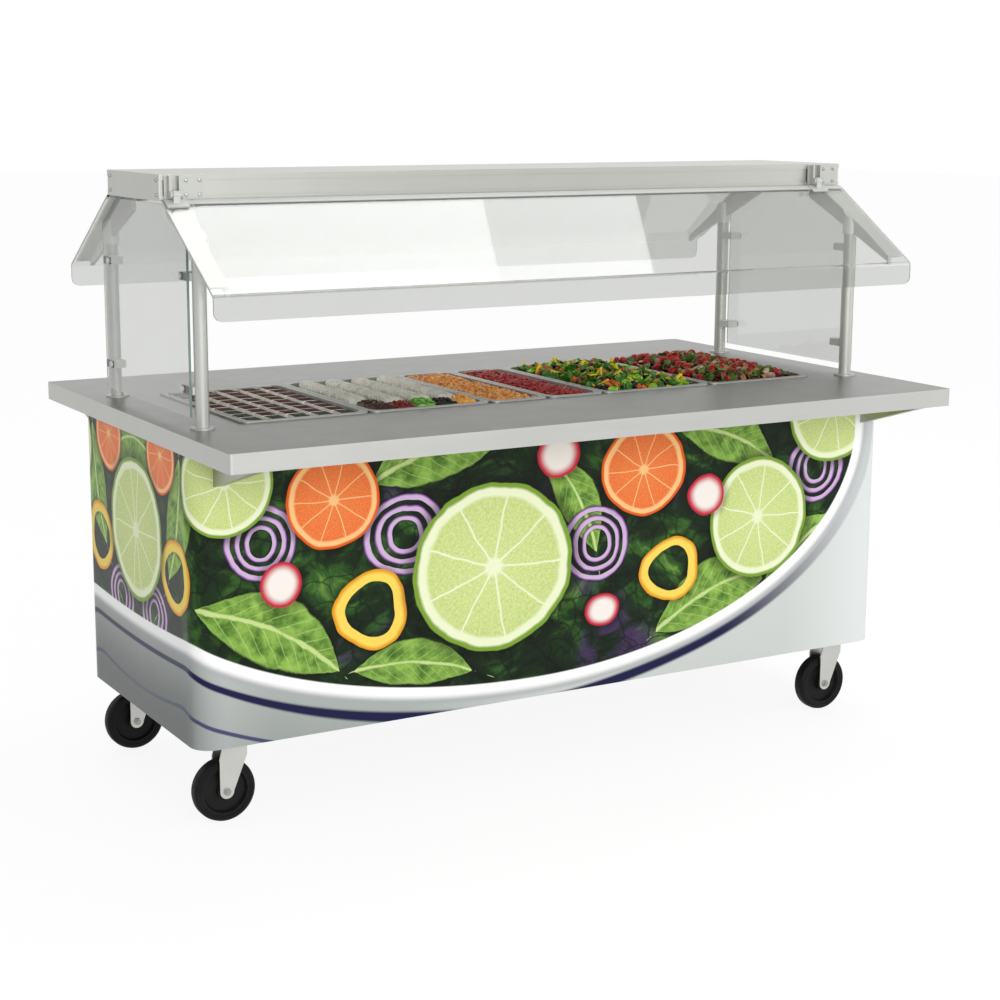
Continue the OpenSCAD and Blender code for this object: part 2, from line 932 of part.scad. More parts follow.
module lip_corner() {
    translate([guard_l / 2 - lip_corner_r, bend_y, lip_z + lip_corner_r])
        rotate([-90, 0, 0])
            difference() {
                cube([lip_corner_r + 1, lip_corner_r + 1, 2 * bend_o]);
                translate([0, 0, -1])
                    cylinder(r = lip_corner_r, h = 2 * bend_o + 2);
            }
}

module guard() {
    difference() {
        profile_at(0, guard_l)
            guard_outline();
        for (x = [0, 1])
            mirror([x, 0, 0])
                lip_corner();
    }
}

// The ears sit at the same place on each bracket, so they lie to one side of it
function ear_places() = [-bracket_x + ear_off, bracket_x + ear_off];

module guard_rail() {
    grip = 14;
    wall = 2;
    plate_w = 52;
    plate_d = 26;
    plate_h = 4;
    seat = rest_gap;
    a = [guard_top_y, beam_z] + seat * slope_n;
    // strip along the guard's outer face, as long as the guard
    profile_at(0, 2 * flange_out)
        polygon([a, a + wall * slope_n, a + wall * slope_n + grip * slope_s, a + grip * slope_s]);
    // channel over the guard's top edge, between the arms
    difference() {
        profile_at(0, 2 * (flange_out - flange_root - grip / 2))
            polygon([
                a + wall * slope_n - (wall + seat) * slope_s,
                a + wall * slope_n + grip * slope_s,
                a - (guard_t + 2 * seat + wall) * slope_n + grip * slope_s,
                a - (guard_t + 2 * seat + wall) * slope_n - (wall + seat) * slope_s
            ]);
        profile_at(0, guard_l)
            polygon([
                a - seat * slope_s, a + 2 * grip * slope_s,
                a - (guard_t + 2 * seat) * slope_n + 2 * grip * slope_s,
                a - (guard_t + 2 * seat) * slope_n - seat * slope_s
            ]);
    }
    for (x = ear_places()) {
        // clamp plate on the guard's outer face
        profile_at(x, plate_w)
            polygon([
                a, a + plate_h * slope_n, a + plate_h * slope_n + plate_d * slope_s,
                a + plate_d * slope_s
            ]);
        // ear up to the hinge pin
        difference() {
            union() {
                translate([x - ear_t / 2, pivot_y, pivot_z])
                    rotate([0, 90, 0])
                        cylinder(r = ear_r, h = ear_t);
                profile_at(x, ear_t)
                    polygon([
                        [pivot_y - ear_r * 0.8, pivot_z - 3], a + slope_n,
                        a + slope_n + 16 * slope_s, [pivot_y + ear_r * 0.9, pivot_z + 3]
                    ]);
            }
            translate([x - ear_t, pivot_y, pivot_z])
                rotate([0, 90, 0])
                    cylinder(r = hinge_pin_r + pin_fit, h = 2 * ear_t);
        }
    }
}

module hinge_bracket(x) {
    plate_z = 3;
    cheek_r = ear_r - 1;
    ear_x = x + ear_off;
    translate([x - bracket_w / 2, beam_w / 2, beam_z + plate_z])
        cube([bracket_w, bracket_t, beam_h - 2 * plate_z]);
    for (s = [-1, 1]) {
        cheek_x = ear_x + s * (ear_t / 2 + cheek_gap + cheek_t / 2);
        translate([cheek_x - cheek_t / 2, pivot_y, pivot_z])
            rotate([0, 90, 0])
                cylinder(r = cheek_r, h = cheek_t);
        // cheek, as tall as the plate above the pin
        translate([cheek_x - cheek_t / 2, beam_w / 2, pivot_z - cheek_r])
            cube([cheek_t, pivot_out, beam_z + beam_h - plate_z - pivot_z + cheek_r]);
    }
    translate([ear_x - ear_t / 2 - cheek_gap - cheek_t, pivot_y, pivot_z])
        rotate([0, 90, 0])
            cylinder(r = hinge_pin_r, h = ear_t + 2 * (cheek_gap + cheek_t));
}

module hinge_brackets() {
    color("darkgray")
        for (turn = [0, 180])
            rotate([0, 0, turn])
                for (x = [-bracket_x, bracket_x])
                    hinge_bracket(x);
}

module front_guard() {
    color([0.85, 0.9, 0.88, 0.3])
        rotate([0, 0, 180])
            guard();
}

module front_guard_rail() {
    color("silver")
        rotate([0, 0, 180])
            guard_rail();
}

module back_guard() {
    color([0.85, 0.9, 0.88, 0.3])
        guard();
}

module back_guard_rail() {
    color("silver")
        guard_rail();
}

// ---- pans and food ----

function bay_x(k) = (k - (bays + 1) / 2) * bay_pitch;
function half_x(side) = bay_x(3) + side * (half_pan_x + half_gap) / 2;

// A disc of the pan's section, grown or shrunk, at height z
module pan_layer(w, grow, z) {
    translate([0, 0, z])
        linear_extrude(0.01)
            rounded(w - 2 * pan_flange + 2 * grow, pan_y - 2 * pan_flange + 2 * grow,
                    max(pan_r + grow, 2), $fn = 24);
}

module pan_body(w, grow, top_z, bottom_z) {
    hull() {
        pan_layer(w, grow, top_z);
        pan_layer(w, grow - pan_lean, bottom_z);
    }
}

module pan(x, w) {
    color("silver")
        translate([x, 0, pan_seat])
            difference() {
                union() {
                    slab(w, pan_y, pan_r * 0.6, 0, pan_rim);
                    pan_body(w, 0, 0.5, -pan_d);
                }
                pan_body(w, -pan_t, pan_rim + 1, pan_t - pan_d);
                // hollow under the rolled rim
                difference() {
                    slab(w - 2 * pan_t, pan_y - 2 * pan_t, pan_r * 0.6, -1, pan_rim - pan_t + 1);
                    slab(w - 2 * pan_flange + 0.2, pan_y - 2 * pan_flange + 0.2, pan_r, -2, pan_rim + 2);
                }
            }
}

module pan_1() { pan(bay_x(1), pan_x); }
module pan_2() { pan(bay_x(2), pan_x); }
module pan_3() { pan(half_x(-1), half_pan_x); }
module pan_4() { pan(half_x(1), half_pan_x); }
module pan_5() { pan(bay_x(4), pan_x); }
module pan_6() { pan(bay_x(5), pan_x); }

// How far a pan's inner wall has leaned in at height z
function wall_lean(z) = pan_lean * (pan_rim + 1 - z) / (pan_rim + 1 + pan_d - pan_t);

// Food bed that fills a pan to a level below its rim
module bed(w, level) {
    floor_level = pan_t + food_gap - pan_d;
    hull()
        for (z = [floor_level, level])
            pan_layer(w, -pan_t - food_gap - wall_lean(z), z);
}

// Heaped food: a bed under a low mound that starts below the rim
module heap(w, crown) {
    reach = w / 2 - pan_flange;
    hull() {
        pan_layer(w, -pan_t - food_gap - pan_lean, pan_t + food_gap - pan_d);
        for (k = [0:0.2:0.8])
            pan_layer(w, -pan_t - food_gap - wall_lean(food_edge) - k * reach,
                      food_edge + (crown - food_edge) * (1 - pow(1 - k, 2)));
    }
}

module food_1_dark_squares() {
    cols = 5;
    rows = 9;
    gap = [22, 10];
    piece_h = 22;
    pitch = [(food_x + gap[0]) / cols, (food_y + gap[1]) / rows];
    color("saddlebrown")
        translate([bay_x(1), 0, pan_seat]) {
            bed(pan_x, food_level);
            for (i = [0:cols - 1], j = [0:rows - 1])
                translate([i * pitch[0] - food_x / 2, j * pitch[1] - food_y / 2, food_level - 1])
                    cube([pitch[0] - gap[0], pitch[1] - gap[1], piece_h]);
        }
}

module food_2_white_rows() {
    rows = 4;
    row_gap = 18;
    row_h = 22;
    row_pitch = (food_x + row_gap) / rows;
    items = 5;
    item_gap = 6;
    item_d = 54;
    item_h = 24;
    item_pitch = (food_x + item_gap) / items;
    row_front = item_d + row_gap;
    color("ivory")
        translate([bay_x(2), 0, pan_seat]) {
            bed(pan_x, food_level);
            translate([-food_x / 2, -food_y / 2, food_level - 1]) {
                for (i = [0:rows - 1])
                    translate([i * row_pitch, row_front, 0])
                        cube([row_pitch - row_gap, food_y - row_front, row_h]);
                for (i = [0:items - 1])
                    translate([i * item_pitch, 0, 0])
                        cube([item_pitch - item_gap, item_d, item_h]);
            }
        }
}

module food_3_orange_dice() {
    color("orange")
        translate([half_x(-1), 0, pan_seat])
            heap(half_pan_x, 10);
}

module food_4_red_beans() {
    color("brown")
        translate([half_x(1), 0, pan_seat])
            heap(half_pan_x, 12);
}

module food_5_green_salad() {
    color("yellowgreen")
        translate([bay_x(4), 0, pan_seat])
            heap(pan_x, 26);
}

module food_6_red_salad() {
    color("indianred")
        translate([bay_x(5), 0, pan_seat])
            heap(pan_x, 32);
}

// ---- casters ----

module at_caster(sx, sy) {
    translate([sx * caster_x, sy * caster_y, 0])
        children();
}

module caster_plates() {
    color("silver")
        for (x = [-1, 1], y = [-1, 1])
            at_caster(x, y) {
                difference() {
                    translate([-plate_x / 2, -plate_y / 2, caster_h - plate_t])
                        cube([plate_x, plate_y, plate_t]);
                    for (i = [-1, 1], j = [-1, 1])
                        translate([i * plate_hole_x, j * plate_hole_y, caster_h - plate_t - 1])
                            cylinder(r = plate_bolt_r + bolt_clear, h = plate_t + 2);
                }
                // upper race
                translate([0, 0, caster_h - plate_t - race_h])
                    cylinder(r1 = race_r - 2, r2 = race_r, h = race_h);
                // kingpin and its head under the fork
                translate([0, 0, fork_top - fork_t - rest_gap])
                    cylinder(r = king_r, h = race_h + fork_t);
                translate([0, 0, fork_top - fork_t - rest_gap - king_head_h])
                    cylinder(r = king_r + 5, h = king_head_h);
            }
}

module caster_bolts() {
    head_h = 5;
    color("darkgray")
        for (x = [-1, 1], y = [-1, 1], i = [-1, 1], j = [-1, 1])
            at_caster(x, y)
                translate([i * plate_hole_x, j * plate_hole_y, caster_h - plate_t]) {
                    cylinder(r = plate_bolt_r, h = plate_t + pad_t);
                    translate([0, 0, -head_h])
                        cylinder(r = plate_bolt_r * 1.8, h = head_h, $fn = 6);
                }
}

module fork(sx, sy) {
    half_w = 30;
    eye_r = 17;
    color("gainsboro")
        at_caster(sx, sy)
            difference() {
                union() {
                    // swivel disc
                    translate([0, 0, fork_top - fork_t])
                        cylinder(r = race_r - 2, h = fork_t);
                    // bridge over the wheel
                    translate([-half_w, -fork_y - fork_t, fork_top - fork_t])
                        cube([2 * half_w, 2 * (fork_y + fork_t), fork_t]);
                    // two legs, tapering to round ends at the axle
                    for (s = [-1, 1])
                        translate([0, s * (fork_y + fork_t / 2), 0])
                            rotate([90, 0, 0])
                                linear_extrude(fork_t, center = true)
                                    union() {
                                        polygon([
                                            [-half_w, fork_top], [half_w, fork_top],
                                            [half_w, fork_top - 22], [-trail + eye_r, wheel_r],
                                            [-trail - eye_r, wheel_r], [-half_w - 8, fork_top - 30]
                                        ]);
                                        translate([-trail, wheel_r])
                                            circle(eye_r);
                                    }
                }
                translate([0, 0, fork_top - fork_t - 1])
                    cylinder(r = king_r + pin_fit, h = fork_t + 2);
                translate([-trail, 0, wheel_r])
                    rotate([90, 0, 0])
                        cylinder(r = axle_r, h = 2 * plate_y, center = true);
            }
}

module axle(sx, sy) {
    half = fork_y + fork_t;
    color("darkgray")
        at_caster(sx, sy)
            translate([-trail, 0, wheel_r])
                rotate([90, 0, 0]) {
                    cylinder(r = axle_r, h = 2 * half + 12, center = true);
                    translate([0, 0, half])
                        cylinder(r = axle_r * 1.8, h = 4.5, $fn = 6);
                    translate([0, 0, -half - 6])
                        cylinder(r = axle_r * 1.8, h = 6, $fn = 6);
                }
}

module wheel(sx, sy) {
    hub_w = 2 * fork_y - 2 * rest_gap - 1;
    rim_w = wheel_w - 2;
    disc_w = 12;
    color([0.16, 0.17, 0.16])
        at_caster(sx, sy)
            translate([-trail, 0, wheel_r])
                rotate([90, 0, 0])
                    rotate_extrude()
                        polygon([
                            [axle_r + pin_fit, -hub_w / 2], [hub_r, -hub_w / 2],
                            [hub_r, -disc_w / 2], [core_r - 10, -disc_w / 2],
                            [core_r - 6, -rim_w / 2], [core_r, -rim_w / 2],
                            [core_r, rim_w / 2], [core_r - 6, rim_w / 2],
                            [core_r - 10, disc_w / 2], [hub_r, disc_w / 2],
                            [hub_r, hub_w / 2], [axle_r + pin_fit, hub_w / 2]
                        ]);
}

module tyre(sx, sy) {
    crown = 6;
    color([0.08, 0.08, 0.08])
        at_caster(sx, sy)
            translate([-trail, 0, wheel_r])
                rotate([90, 0, 0])
                    rotate_extrude()
                        polygon([
                            [core_r, -wheel_w / 2], [wheel_r - crown, -wheel_w / 2],
                            [wheel_r - 1.5, -wheel_w / 2 + 4], [wheel_r, -wheel_w / 2 + 10],
                            [wheel_r, wheel_w / 2 - 10], [wheel_r - 1.5, wheel_w / 2 - 4],
                            [wheel_r - crown, wheel_w / 2], [core_r, wheel_w / 2]
                        ]);
}

module fork_front_left() { fork(-1, -1); }
module fork_front_right() { fork(1, -1); }
module fork_back_left() { fork(-1, 1); }
module fork_back_right() { fork(1, 1); }
module axle_front_left() { axle(-1, -1); }
module axle_front_right() { axle(1, -1); }
module axle_back_left() { axle(-1, 1); }
module axle_back_right() { axle(1, 1); }
module wheel_front_left() { wheel(-1, -1); }
module wheel_front_right() { wheel(1, -1); }
module wheel_back_left() { wheel(-1, 1); }
module wheel_back_right() { wheel(1, 1); }
module tyre_front_left() { tyre(-1, -1); }
module tyre_front_right() { tyre(1, -1); }
module tyre_back_left() { tyre(-1, 1); }
module tyre_back_right() { tyre(1, 1); }

worktop();
worktop_gussets();
cabinet_shell();
chassis();
floor_pan();
upper_frame();
access_door();
door_hinges();
door_pull();
door_catch();
well_liner();
well_insulation();
well_jacket();
divider_bars();
drain_pipe();
drain_valve();
valve_lever();
top_beam();
beam_end_caps();
canopy_posts();
post_nuts();
canopy_arms();
hinge_brackets();
end_glass_left();
end_glass_right();
glass_clamps();
front_guard();
front_guard_rail();
back_guard();
back_guard_rail();
pan_1();
pan_2();
pan_3();
pan_4();
pan_5();
pan_6();
food_1_dark_squares();
food_2_white_rows();
food_3_orange_dice();
food_4_red_beans();
food_5_green_salad();
food_6_red_salad();
caster_plates();
caster_bolts();
fork_front_left();
fork_front_right();
fork_back_left();
fork_back_right();
axle_front_left();
axle_front_right();
axle_back_left();
axle_back_right();
wheel_front_left();
wheel_front_right();
wheel_back_left();
wheel_back_right();
tyre_front_left();
tyre_front_right();
tyre_back_left();
tyre_back_right();
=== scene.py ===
import math
import random

import bmesh
import bpy
from mathutils import Euler, Matrix, Vector


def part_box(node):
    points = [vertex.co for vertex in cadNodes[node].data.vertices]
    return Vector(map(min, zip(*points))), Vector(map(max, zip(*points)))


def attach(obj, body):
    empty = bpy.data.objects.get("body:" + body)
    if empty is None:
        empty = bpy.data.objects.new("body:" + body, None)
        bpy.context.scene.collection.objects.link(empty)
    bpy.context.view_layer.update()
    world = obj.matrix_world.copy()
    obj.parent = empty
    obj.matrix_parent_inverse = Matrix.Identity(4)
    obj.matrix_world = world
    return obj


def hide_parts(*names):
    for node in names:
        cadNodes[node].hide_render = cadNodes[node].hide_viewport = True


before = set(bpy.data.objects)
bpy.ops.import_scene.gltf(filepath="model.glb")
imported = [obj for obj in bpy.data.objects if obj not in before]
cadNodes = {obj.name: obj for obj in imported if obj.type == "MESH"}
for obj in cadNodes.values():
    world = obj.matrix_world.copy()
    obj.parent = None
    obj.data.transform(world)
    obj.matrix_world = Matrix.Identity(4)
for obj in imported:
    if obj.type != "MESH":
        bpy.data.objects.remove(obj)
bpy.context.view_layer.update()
print("frame loaded:", len(cadNodes), "nodes")


def tone(red, green, blue):
    # a colour as it looks on screen, 0 to 255, made linear
    return tuple(v / 12.92 if v < 0.04045 else ((v + 0.055) / 1.055) ** 2.4
                 for v in (red / 255, green / 255, blue / 255))


def tones(inks):
    return [tone(*ink) for ink in inks]


def sign(operation):
    return lambda wire, other: wire.maths(operation, other)


def turnedSign(operation):
    # for a number in front of the sign
    return lambda wire, other: wire.paint.node("Math", {"operation": operation},
                                               {0: other, 1: wire})


class Wire:
    # the output of a node; sums, products and the like make further nodes
    def __init__(self, paint, socket):
        self.paint = paint
        self.socket = socket

    def maths(self, operation, *others):
        return self.paint.node("Math", {"operation": operation},
                               dict(enumerate((self,) + others)))

    __add__ = __radd__ = sign("ADD")
    __sub__, __rsub__ = sign("SUBTRACT"), turnedSign("SUBTRACT")
    __mul__ = __rmul__ = sign("MULTIPLY")
    __truediv__, __rtruediv__ = sign("DIVIDE"), turnedSign("DIVIDE")
    __pow__ = sign("POWER")
    __lt__, __gt__ = sign("LESS_THAN"), sign("GREATER_THAN")

    def __neg__(self):
        return self * -1

    def __abs__(self):
        return self.maths("ABSOLUTE")

    def out(self, name):
        return Wire(self.paint, self.socket.node.outputs[name])

    def ease(self, low, high):
        # 0 below low, 1 above high, smooth between
        return self.paint.node("MapRange", {"interpolation_type": "SMOOTHSTEP"},
                               {"Value": self, "From Min": low, "From Max": high})


class Paint:
    # the nodes of one material, or of the world
    sockets = {"coat": "Coat Weight", "coatRoughness": "Coat Roughness", "ior": "IOR",
               "transmission": "Transmission Weight", "specular": "Specular IOR Level"}

    def __init__(self, name, holder=None):
        self.holder = holder or bpy.data.materials.new(name)
        self.holder.use_nodes = True
        self.tree = self.holder.node_tree
        self.tree.nodes.clear()

    def node(self, kind, settings=None, inputs=None, out=0):
        made = self.tree.nodes.new("ShaderNode" + kind)
        for key, value in (settings or {}).items():
            if key == "stops":
                ramp = made.color_ramp
                for i, (place, colour) in enumerate(value):
                    stop = ramp.elements[i] if i < 2 else ramp.elements.new(place)
                    stop.position = place
                    stop.color = (*colour, 1)
            else:
                setattr(made, key, value)
        for key, value in (inputs or {}).items():
            socket = made.inputs[key]
            if isinstance(value, Wire):
                self.tree.links.new(value.socket, socket)
            elif socket.type == "RGBA" and len(value) == 3:
                socket.default_value = (*value, 1)
            else:
                socket.default_value = value
        return Wire(self, made.outputs[out])

    def place(self):
        return self.node("TexCoord", out="Object")

    def split(self, vector):
        parts = self.node("SeparateXYZ", inputs={0: vector})
        return parts, parts.out("Y"), parts.out("Z")

    def join(self, x, y, z=0.0):
        return self.node("CombineXYZ", inputs={0: x, 1: y, 2: z})

    def vector(self, operation, a, b):
        return self.node("VectorMath", {"operation": operation}, {0: a, 1: b})

    def dim(self, colour, amount):
        return self.node("VectorMath", {"operation": "SCALE"},
                         {0: colour, "Scale": amount})

    def mix(self, a, b, factor):
        return self.node("Mix", {"data_type": "RGBA"}, {0: factor, 6: a, 7: b}, out=2)

    def noise(self, vector, scale, detail=3.0, rough=0.5, warp=0.0):
        return self.node("TexNoise", None,
                         {"Vector": vector, "Scale": scale, "Detail": detail,
                          "Roughness": rough, "Distortion": warp})

    def cells(self, vector, scale, feature="F1"):
        return self.node("TexVoronoi", {"feature": feature},
                         {"Vector": vector, "Scale": scale}, out="Distance")

    def ramp(self, factor, *stops):
        return self.node("ValToRGB", {"stops": stops}, {0: factor})

    def bump(self, height, depth):
        return self.node("Bump", None, {"Height": height, "Distance": depth})

    def seen(self):
        # 1 for what the camera, a reflection or a clear sheet shows
        ray = self.node("LightPath", out="Is Camera Ray")
        for name in ("Is Glossy Ray", "Is Transmission Ray"):
            ray = ray.maths("MAXIMUM", self.node("LightPath", out=name))
        return ray

    def surface(self, colour, roughness, metallic=0.0, normal=None, **more):
        inputs = {"Base Color": colour, "Roughness": roughness, "Metallic": metallic}
        if normal:
            inputs["Normal"] = normal
        inputs.update({self.sockets[key]: value for key, value in more.items()})
        return self.node("BsdfPrincipled", None, inputs)

    def blend(self, first, second, factor):
        return self.node("MixShader", None, {0: factor, 1: first, 2: second})

    def done(self, shader, kind="OutputMaterial"):
        end = self.tree.nodes.new("ShaderNode" + kind)
        self.tree.links.new(shader.socket, end.inputs["Surface"])
        return self.holder


def dress(material, *names):
    # every slot of these CAD nodes gets the material
    for name in names:
        slots = cadNodes[name].data.materials
        if not slots:
            slots.append(material)
        for i in range(len(slots)):
            slots[i] = material


cameraView = {
    "place": (-2.5186, -4.3339, 1.6325),
    "yaw": 29.955,           # degrees
    "pitch": 10.858,
    "roll": 0.209,
    "lens": 70.67,
    "shift": (0.0112, -0.0223),
}


def addCamera(values):
    data = bpy.data.cameras.new("photoCamera")
    data.lens = values["lens"]
    data.shift_x, data.shift_y = values["shift"]
    data.clip_end = 200
    camera = bpy.data.objects.new("photoCamera", data)
    bpy.context.scene.collection.objects.link(camera)
    turn = (Matrix.Rotation(math.radians(-values["yaw"]), 4, "Z")
            @ Matrix.Rotation(math.radians(90 - values["pitch"]), 4, "X")
            @ Matrix.Rotation(math.radians(values["roll"]), 4, "Z"))
    camera.matrix_world = Matrix.Translation(values["place"]) @ turn
    bpy.context.scene.camera = camera


studio = {
    "roomLight": 0.62,
    "roomTone": (0.97, 0.985, 1.0),
    "floorSize": 60,
    "floorPlace": (0, 10, 0),
    "floorTones": ((0.86, 0.86, 0.855), (0.9, 0.9, 0.895)),
    "floorRoughness": 0.6,
    "floorGlow": 1.05,
    "floorLift": 0.84,       # share of the glow in the floor that is seen; the rest takes shadow
    "boxes": [
        # name, place, point it faces, size, power
        ("overheadLeft", (0.86, 0.7, 4.5), (0.86, 0.7, 0), (1.77, 1.9), 39),
        ("overheadRight", (2.145, 0.7, 4.5), (2.145, 0.7, 0), (0.80, 1.9), 10.5),
        ("frontSoft", (-1.2, -6.5, 2.6), (0.0, 0.0, 0.7), (5.0, 3.0), 185),
        ("rightSoft", (5.5, -3.5, 2.4), (0.0, 0.0, 0.8), (3.0, 3.0), 52),
    ],
}


def addWorld(values):
    # a soft room light; white where it is seen
    world = bpy.data.worlds.new("studioRoom")
    bpy.context.scene.world = world
    sky = Paint("studioRoom", world)
    room = sky.node("Background", None,
                    {"Color": values["roomTone"], "Strength": values["roomLight"]})
    white = sky.node("Background", None, {"Color": (1, 1, 1)})
    sky.done(sky.blend(room, white, sky.seen()), "OutputWorld")


def addLamps(values):
    for name, place, target, size, power in values["boxes"]:
        data = bpy.data.lights.new(name, "AREA")
        data.shape = "RECTANGLE"
        data.size, data.size_y = size
        data.energy = power
        lamp = bpy.data.objects.new(name, data)
        bpy.context.scene.collection.objects.link(lamp)
        lamp.location = place
        aim = Vector(target) - Vector(place)
        lamp.rotation_euler = aim.to_track_quat("-Z", "Y").to_euler()


def addFloor(values):
    bpy.ops.object.select_all(action="DESELECT")
    bpy.ops.mesh.primitive_plane_add(size=values["floorSize"], location=values["floorPlace"])
    floor = bpy.context.object
    floor.name = "paleFloor"
    bpy.ops.object.transform_apply(location=True)
    paint = Paint("paleFloor")
    grain = paint.noise(paint.place(), 0.9, 2.0)
    plain = paint.surface(paint.mix(*values["floorTones"], grain), values["floorRoughness"])
    lit = paint.node("Emission", None,
                     {"Color": (1, 1, 1), "Strength": values["floorGlow"]})
    shader = paint.blend(plain, lit, paint.seen() * values["floorLift"])
    floor.data.materials.append(paint.done(shader))


addCamera(cameraView)
bpy.context.scene.view_settings.view_transform = "Standard"
addWorld(studio)
addLamps(studio)
addFloor(studio)
print("camera, lights and floor ready")


def brushed(name, colour, roughness, along, streak=260.0, contrast=0.06, paintedTopShade=None,
            paintedEndShade=None, metallic=1.0):
    # drawn sheet: fine streaks along one axis, cloudy wear and faint smudges over them; a top and
    # an end colour, where given, are painted shade on the top face and on the faces towards -x
    paint = Paint(name)
    place = paint.place()
    stretch = {"x": (0.012, 1, 1), "y": (1, 0.012, 1), "z": (1, 1, 0.012)}[along]
    fine = paint.noise(paint.vector("MULTIPLY", place, stretch), streak, 4.0, 0.6)
    cloud = paint.noise(place, 3.5, 3.0, 0.55)
    smudge = paint.noise(place, 14.0, 3.0, 0.6)
    base = tone(*colour)
    if paintedTopShade:
        # painted shade: upward faces take the darker top colour, standing in for a dim reflection,
        # and faces towards -x take the darker end colour, as if turned from the light
        x, y, z = paint.split(paint.node("NewGeometry", out="Normal"))
        base = paint.mix(base, tone(*paintedEndShade), abs(x).ease(0.5, 0.9) * (x < 0))
        base = paint.mix(base, tone(*paintedTopShade), z.ease(0.5, 0.9))
    shade = (fine - 0.5) * contrast * 1.6 + (cloud - 0.5) * contrast + 1.0
    rough = roughness + (fine - 0.5) * 0.12 + (smudge - 0.5) * 0.1
    return paint.done(paint.surface(paint.dim(base, shade), rough, metallic,
                                    paint.bump(fine, 0.00006)))


def cast(name, colour, roughness, metallic=1.0, grit=900.0, depth=0.00005):
    # cast or rolled metal and hard coatings: fine grit and a soft mottle
    paint = Paint(name)
    place = paint.place()
    pits = paint.noise(place, grit, 2.0, 0.6)
    mottle = paint.noise(place, 22.0, 3.0, 0.55)
    tint = paint.dim(tone(*colour), 0.95 + mottle * 0.1)
    rough = roughness + (mottle - 0.5) * 0.14
    return paint.done(paint.surface(tint, rough, metallic, paint.bump(pits, depth)))


corners = ["front_left", "front_right", "back_left", "back_right"]


def atCorners(part):
    return [part + "_" + corner for corner in corners]


brushedLooks = {
    # nodes, screen tone, roughness and the way the streaks run; then what differs
    # the deck's darker top and end colours are painted shade, not a different finish
    "drawnSteelDeck": (["worktop"], (194, 194, 190), 0.36, "x",
                       {"paintedTopShade": (137, 137, 133), "paintedEndShade": (182, 182, 178)}),
    "drawnSteelGussets": (["worktop_gussets"], (176, 177, 172), 0.42, "y", {}),
    "panSteel": (["pan_%d" % n for n in range(1, 7)], (166, 166, 162), 0.5, "z", {}),
    "linerSteel": (["well_liner", "divider_bars", "drain_pipe"], (196, 197, 193), 0.3, "z", {}),
    "beamAluminium": (["top_beam"], (176, 176, 171), 0.38, "x",
                      {"streak": 320.0, "contrast": 0.04}),
    "beamCapSteel": (["beam_end_caps"], (186, 187, 183), 0.42, "y",
                     {"streak": 320.0, "contrast": 0.05}),
    "postTube": (["canopy_posts"], (188, 189, 184), 0.44, "z",
                 {"streak": 420.0, "contrast": 0.05, "metallic": 0.6}),
    "pullRod": (["door_pull"], (196, 196, 192), 0.26, "z", {}),
}
castLooks = {
    # nodes, screen tone and roughness; then metallic, grit and depth where they differ
    "railStrip": (["front_guard_rail", "back_guard_rail"], (196, 198, 194), 0.5, 0.25),
    "castArm": (["canopy_arms"], (222, 223, 219), 0.46, 0.35),
    "bracketZinc": (["hinge_brackets"], (182, 183, 178), 0.5, 0.6),
    "clampZinc": (["glass_clamps"], (204, 206, 202), 0.5, 0.3),
    "zincNuts": (["post_nuts", "caster_bolts"] + atCorners("axle"), (158, 158, 152), 0.38),
    "hingeSteel": (["door_hinges"], (176, 176, 172), 0.36),
    "galvanisedPan": (["floor_pan", "well_jacket"], (168, 171, 170), 0.5, 0.9, 60.0, 0.0001),
    "framePaint": (["chassis", "upper_frame"], (92, 94, 96), 0.48, 0.0, 500.0, 0.00008),
    "casterZinc": (["caster_plates"] + atCorners("fork"), (196, 197, 193), 0.4),
    "brassValve": (["drain_valve"], (190, 156, 88), 0.34),
    "redGrip": (["valve_lever"], (170, 34, 28), 0.4, 0.0, 300.0, 0.00004),
    "whiteCatch": (["door_catch"], (228, 228, 224), 0.45, 0.0, 400.0, 0.00003),
}
for name, (nodes, colour, roughness, along, more) in brushedLooks.items():
    dress(brushed(name, colour, roughness, along, **more), *nodes)
for name, (nodes, *values) in castLooks.items():
    dress(cast(name, *values), *nodes)


def foamLook():
    paint = Paint("wellFoam")
    place = paint.place()
    bubbles = paint.cells(place, 260.0)
    stain = paint.noise(place, 7.0)
    colour = paint.mix(tone(214, 196, 140), tone(190, 168, 110), stain)
    return paint.done(paint.surface(colour, 0.85, 0.0, paint.bump(bubbles, 0.0008)))


dress(foamLook(), "well_insulation")


def rubberLook(name, colour, ribs):
    # moulded rubber: fine grit, and dust in patches
    paint = Paint(name)
    place = paint.place()
    grit = paint.noise(place, 700.0, 2.0)
    dust = paint.noise(place, 30.0, 4.0, 0.6).ease(0.45, 0.75)
    tint = paint.mix(tone(*colour), tone(58, 58, 55), dust * 0.22)
    return paint.done(paint.surface(tint, 0.5 + dust * 0.25, 0.0,
                                    paint.bump(grit, 0.00008 * ribs), specular=0.14))


dress(rubberLook("blackTyre", (14, 14, 14), 1.0), *atCorners("tyre"))
dress(rubberLook("wheelCore", (22, 23, 22), 0.5), *atCorners("wheel"))
print("metals done")


glassLook = {
    # tint of the sheet, screen tone of its cut edge
    "end": ((0.65, 0.66, 0.64), (142, 166, 155)),
    "guard": ((0.69, 0.70, 0.68), (196, 203, 197)),
    "roughness": 0.015,
    "lampTint": (0.82, 0.84, 0.82),
}


def darker(colour, share):
    return tuple(c * share for c in colour)


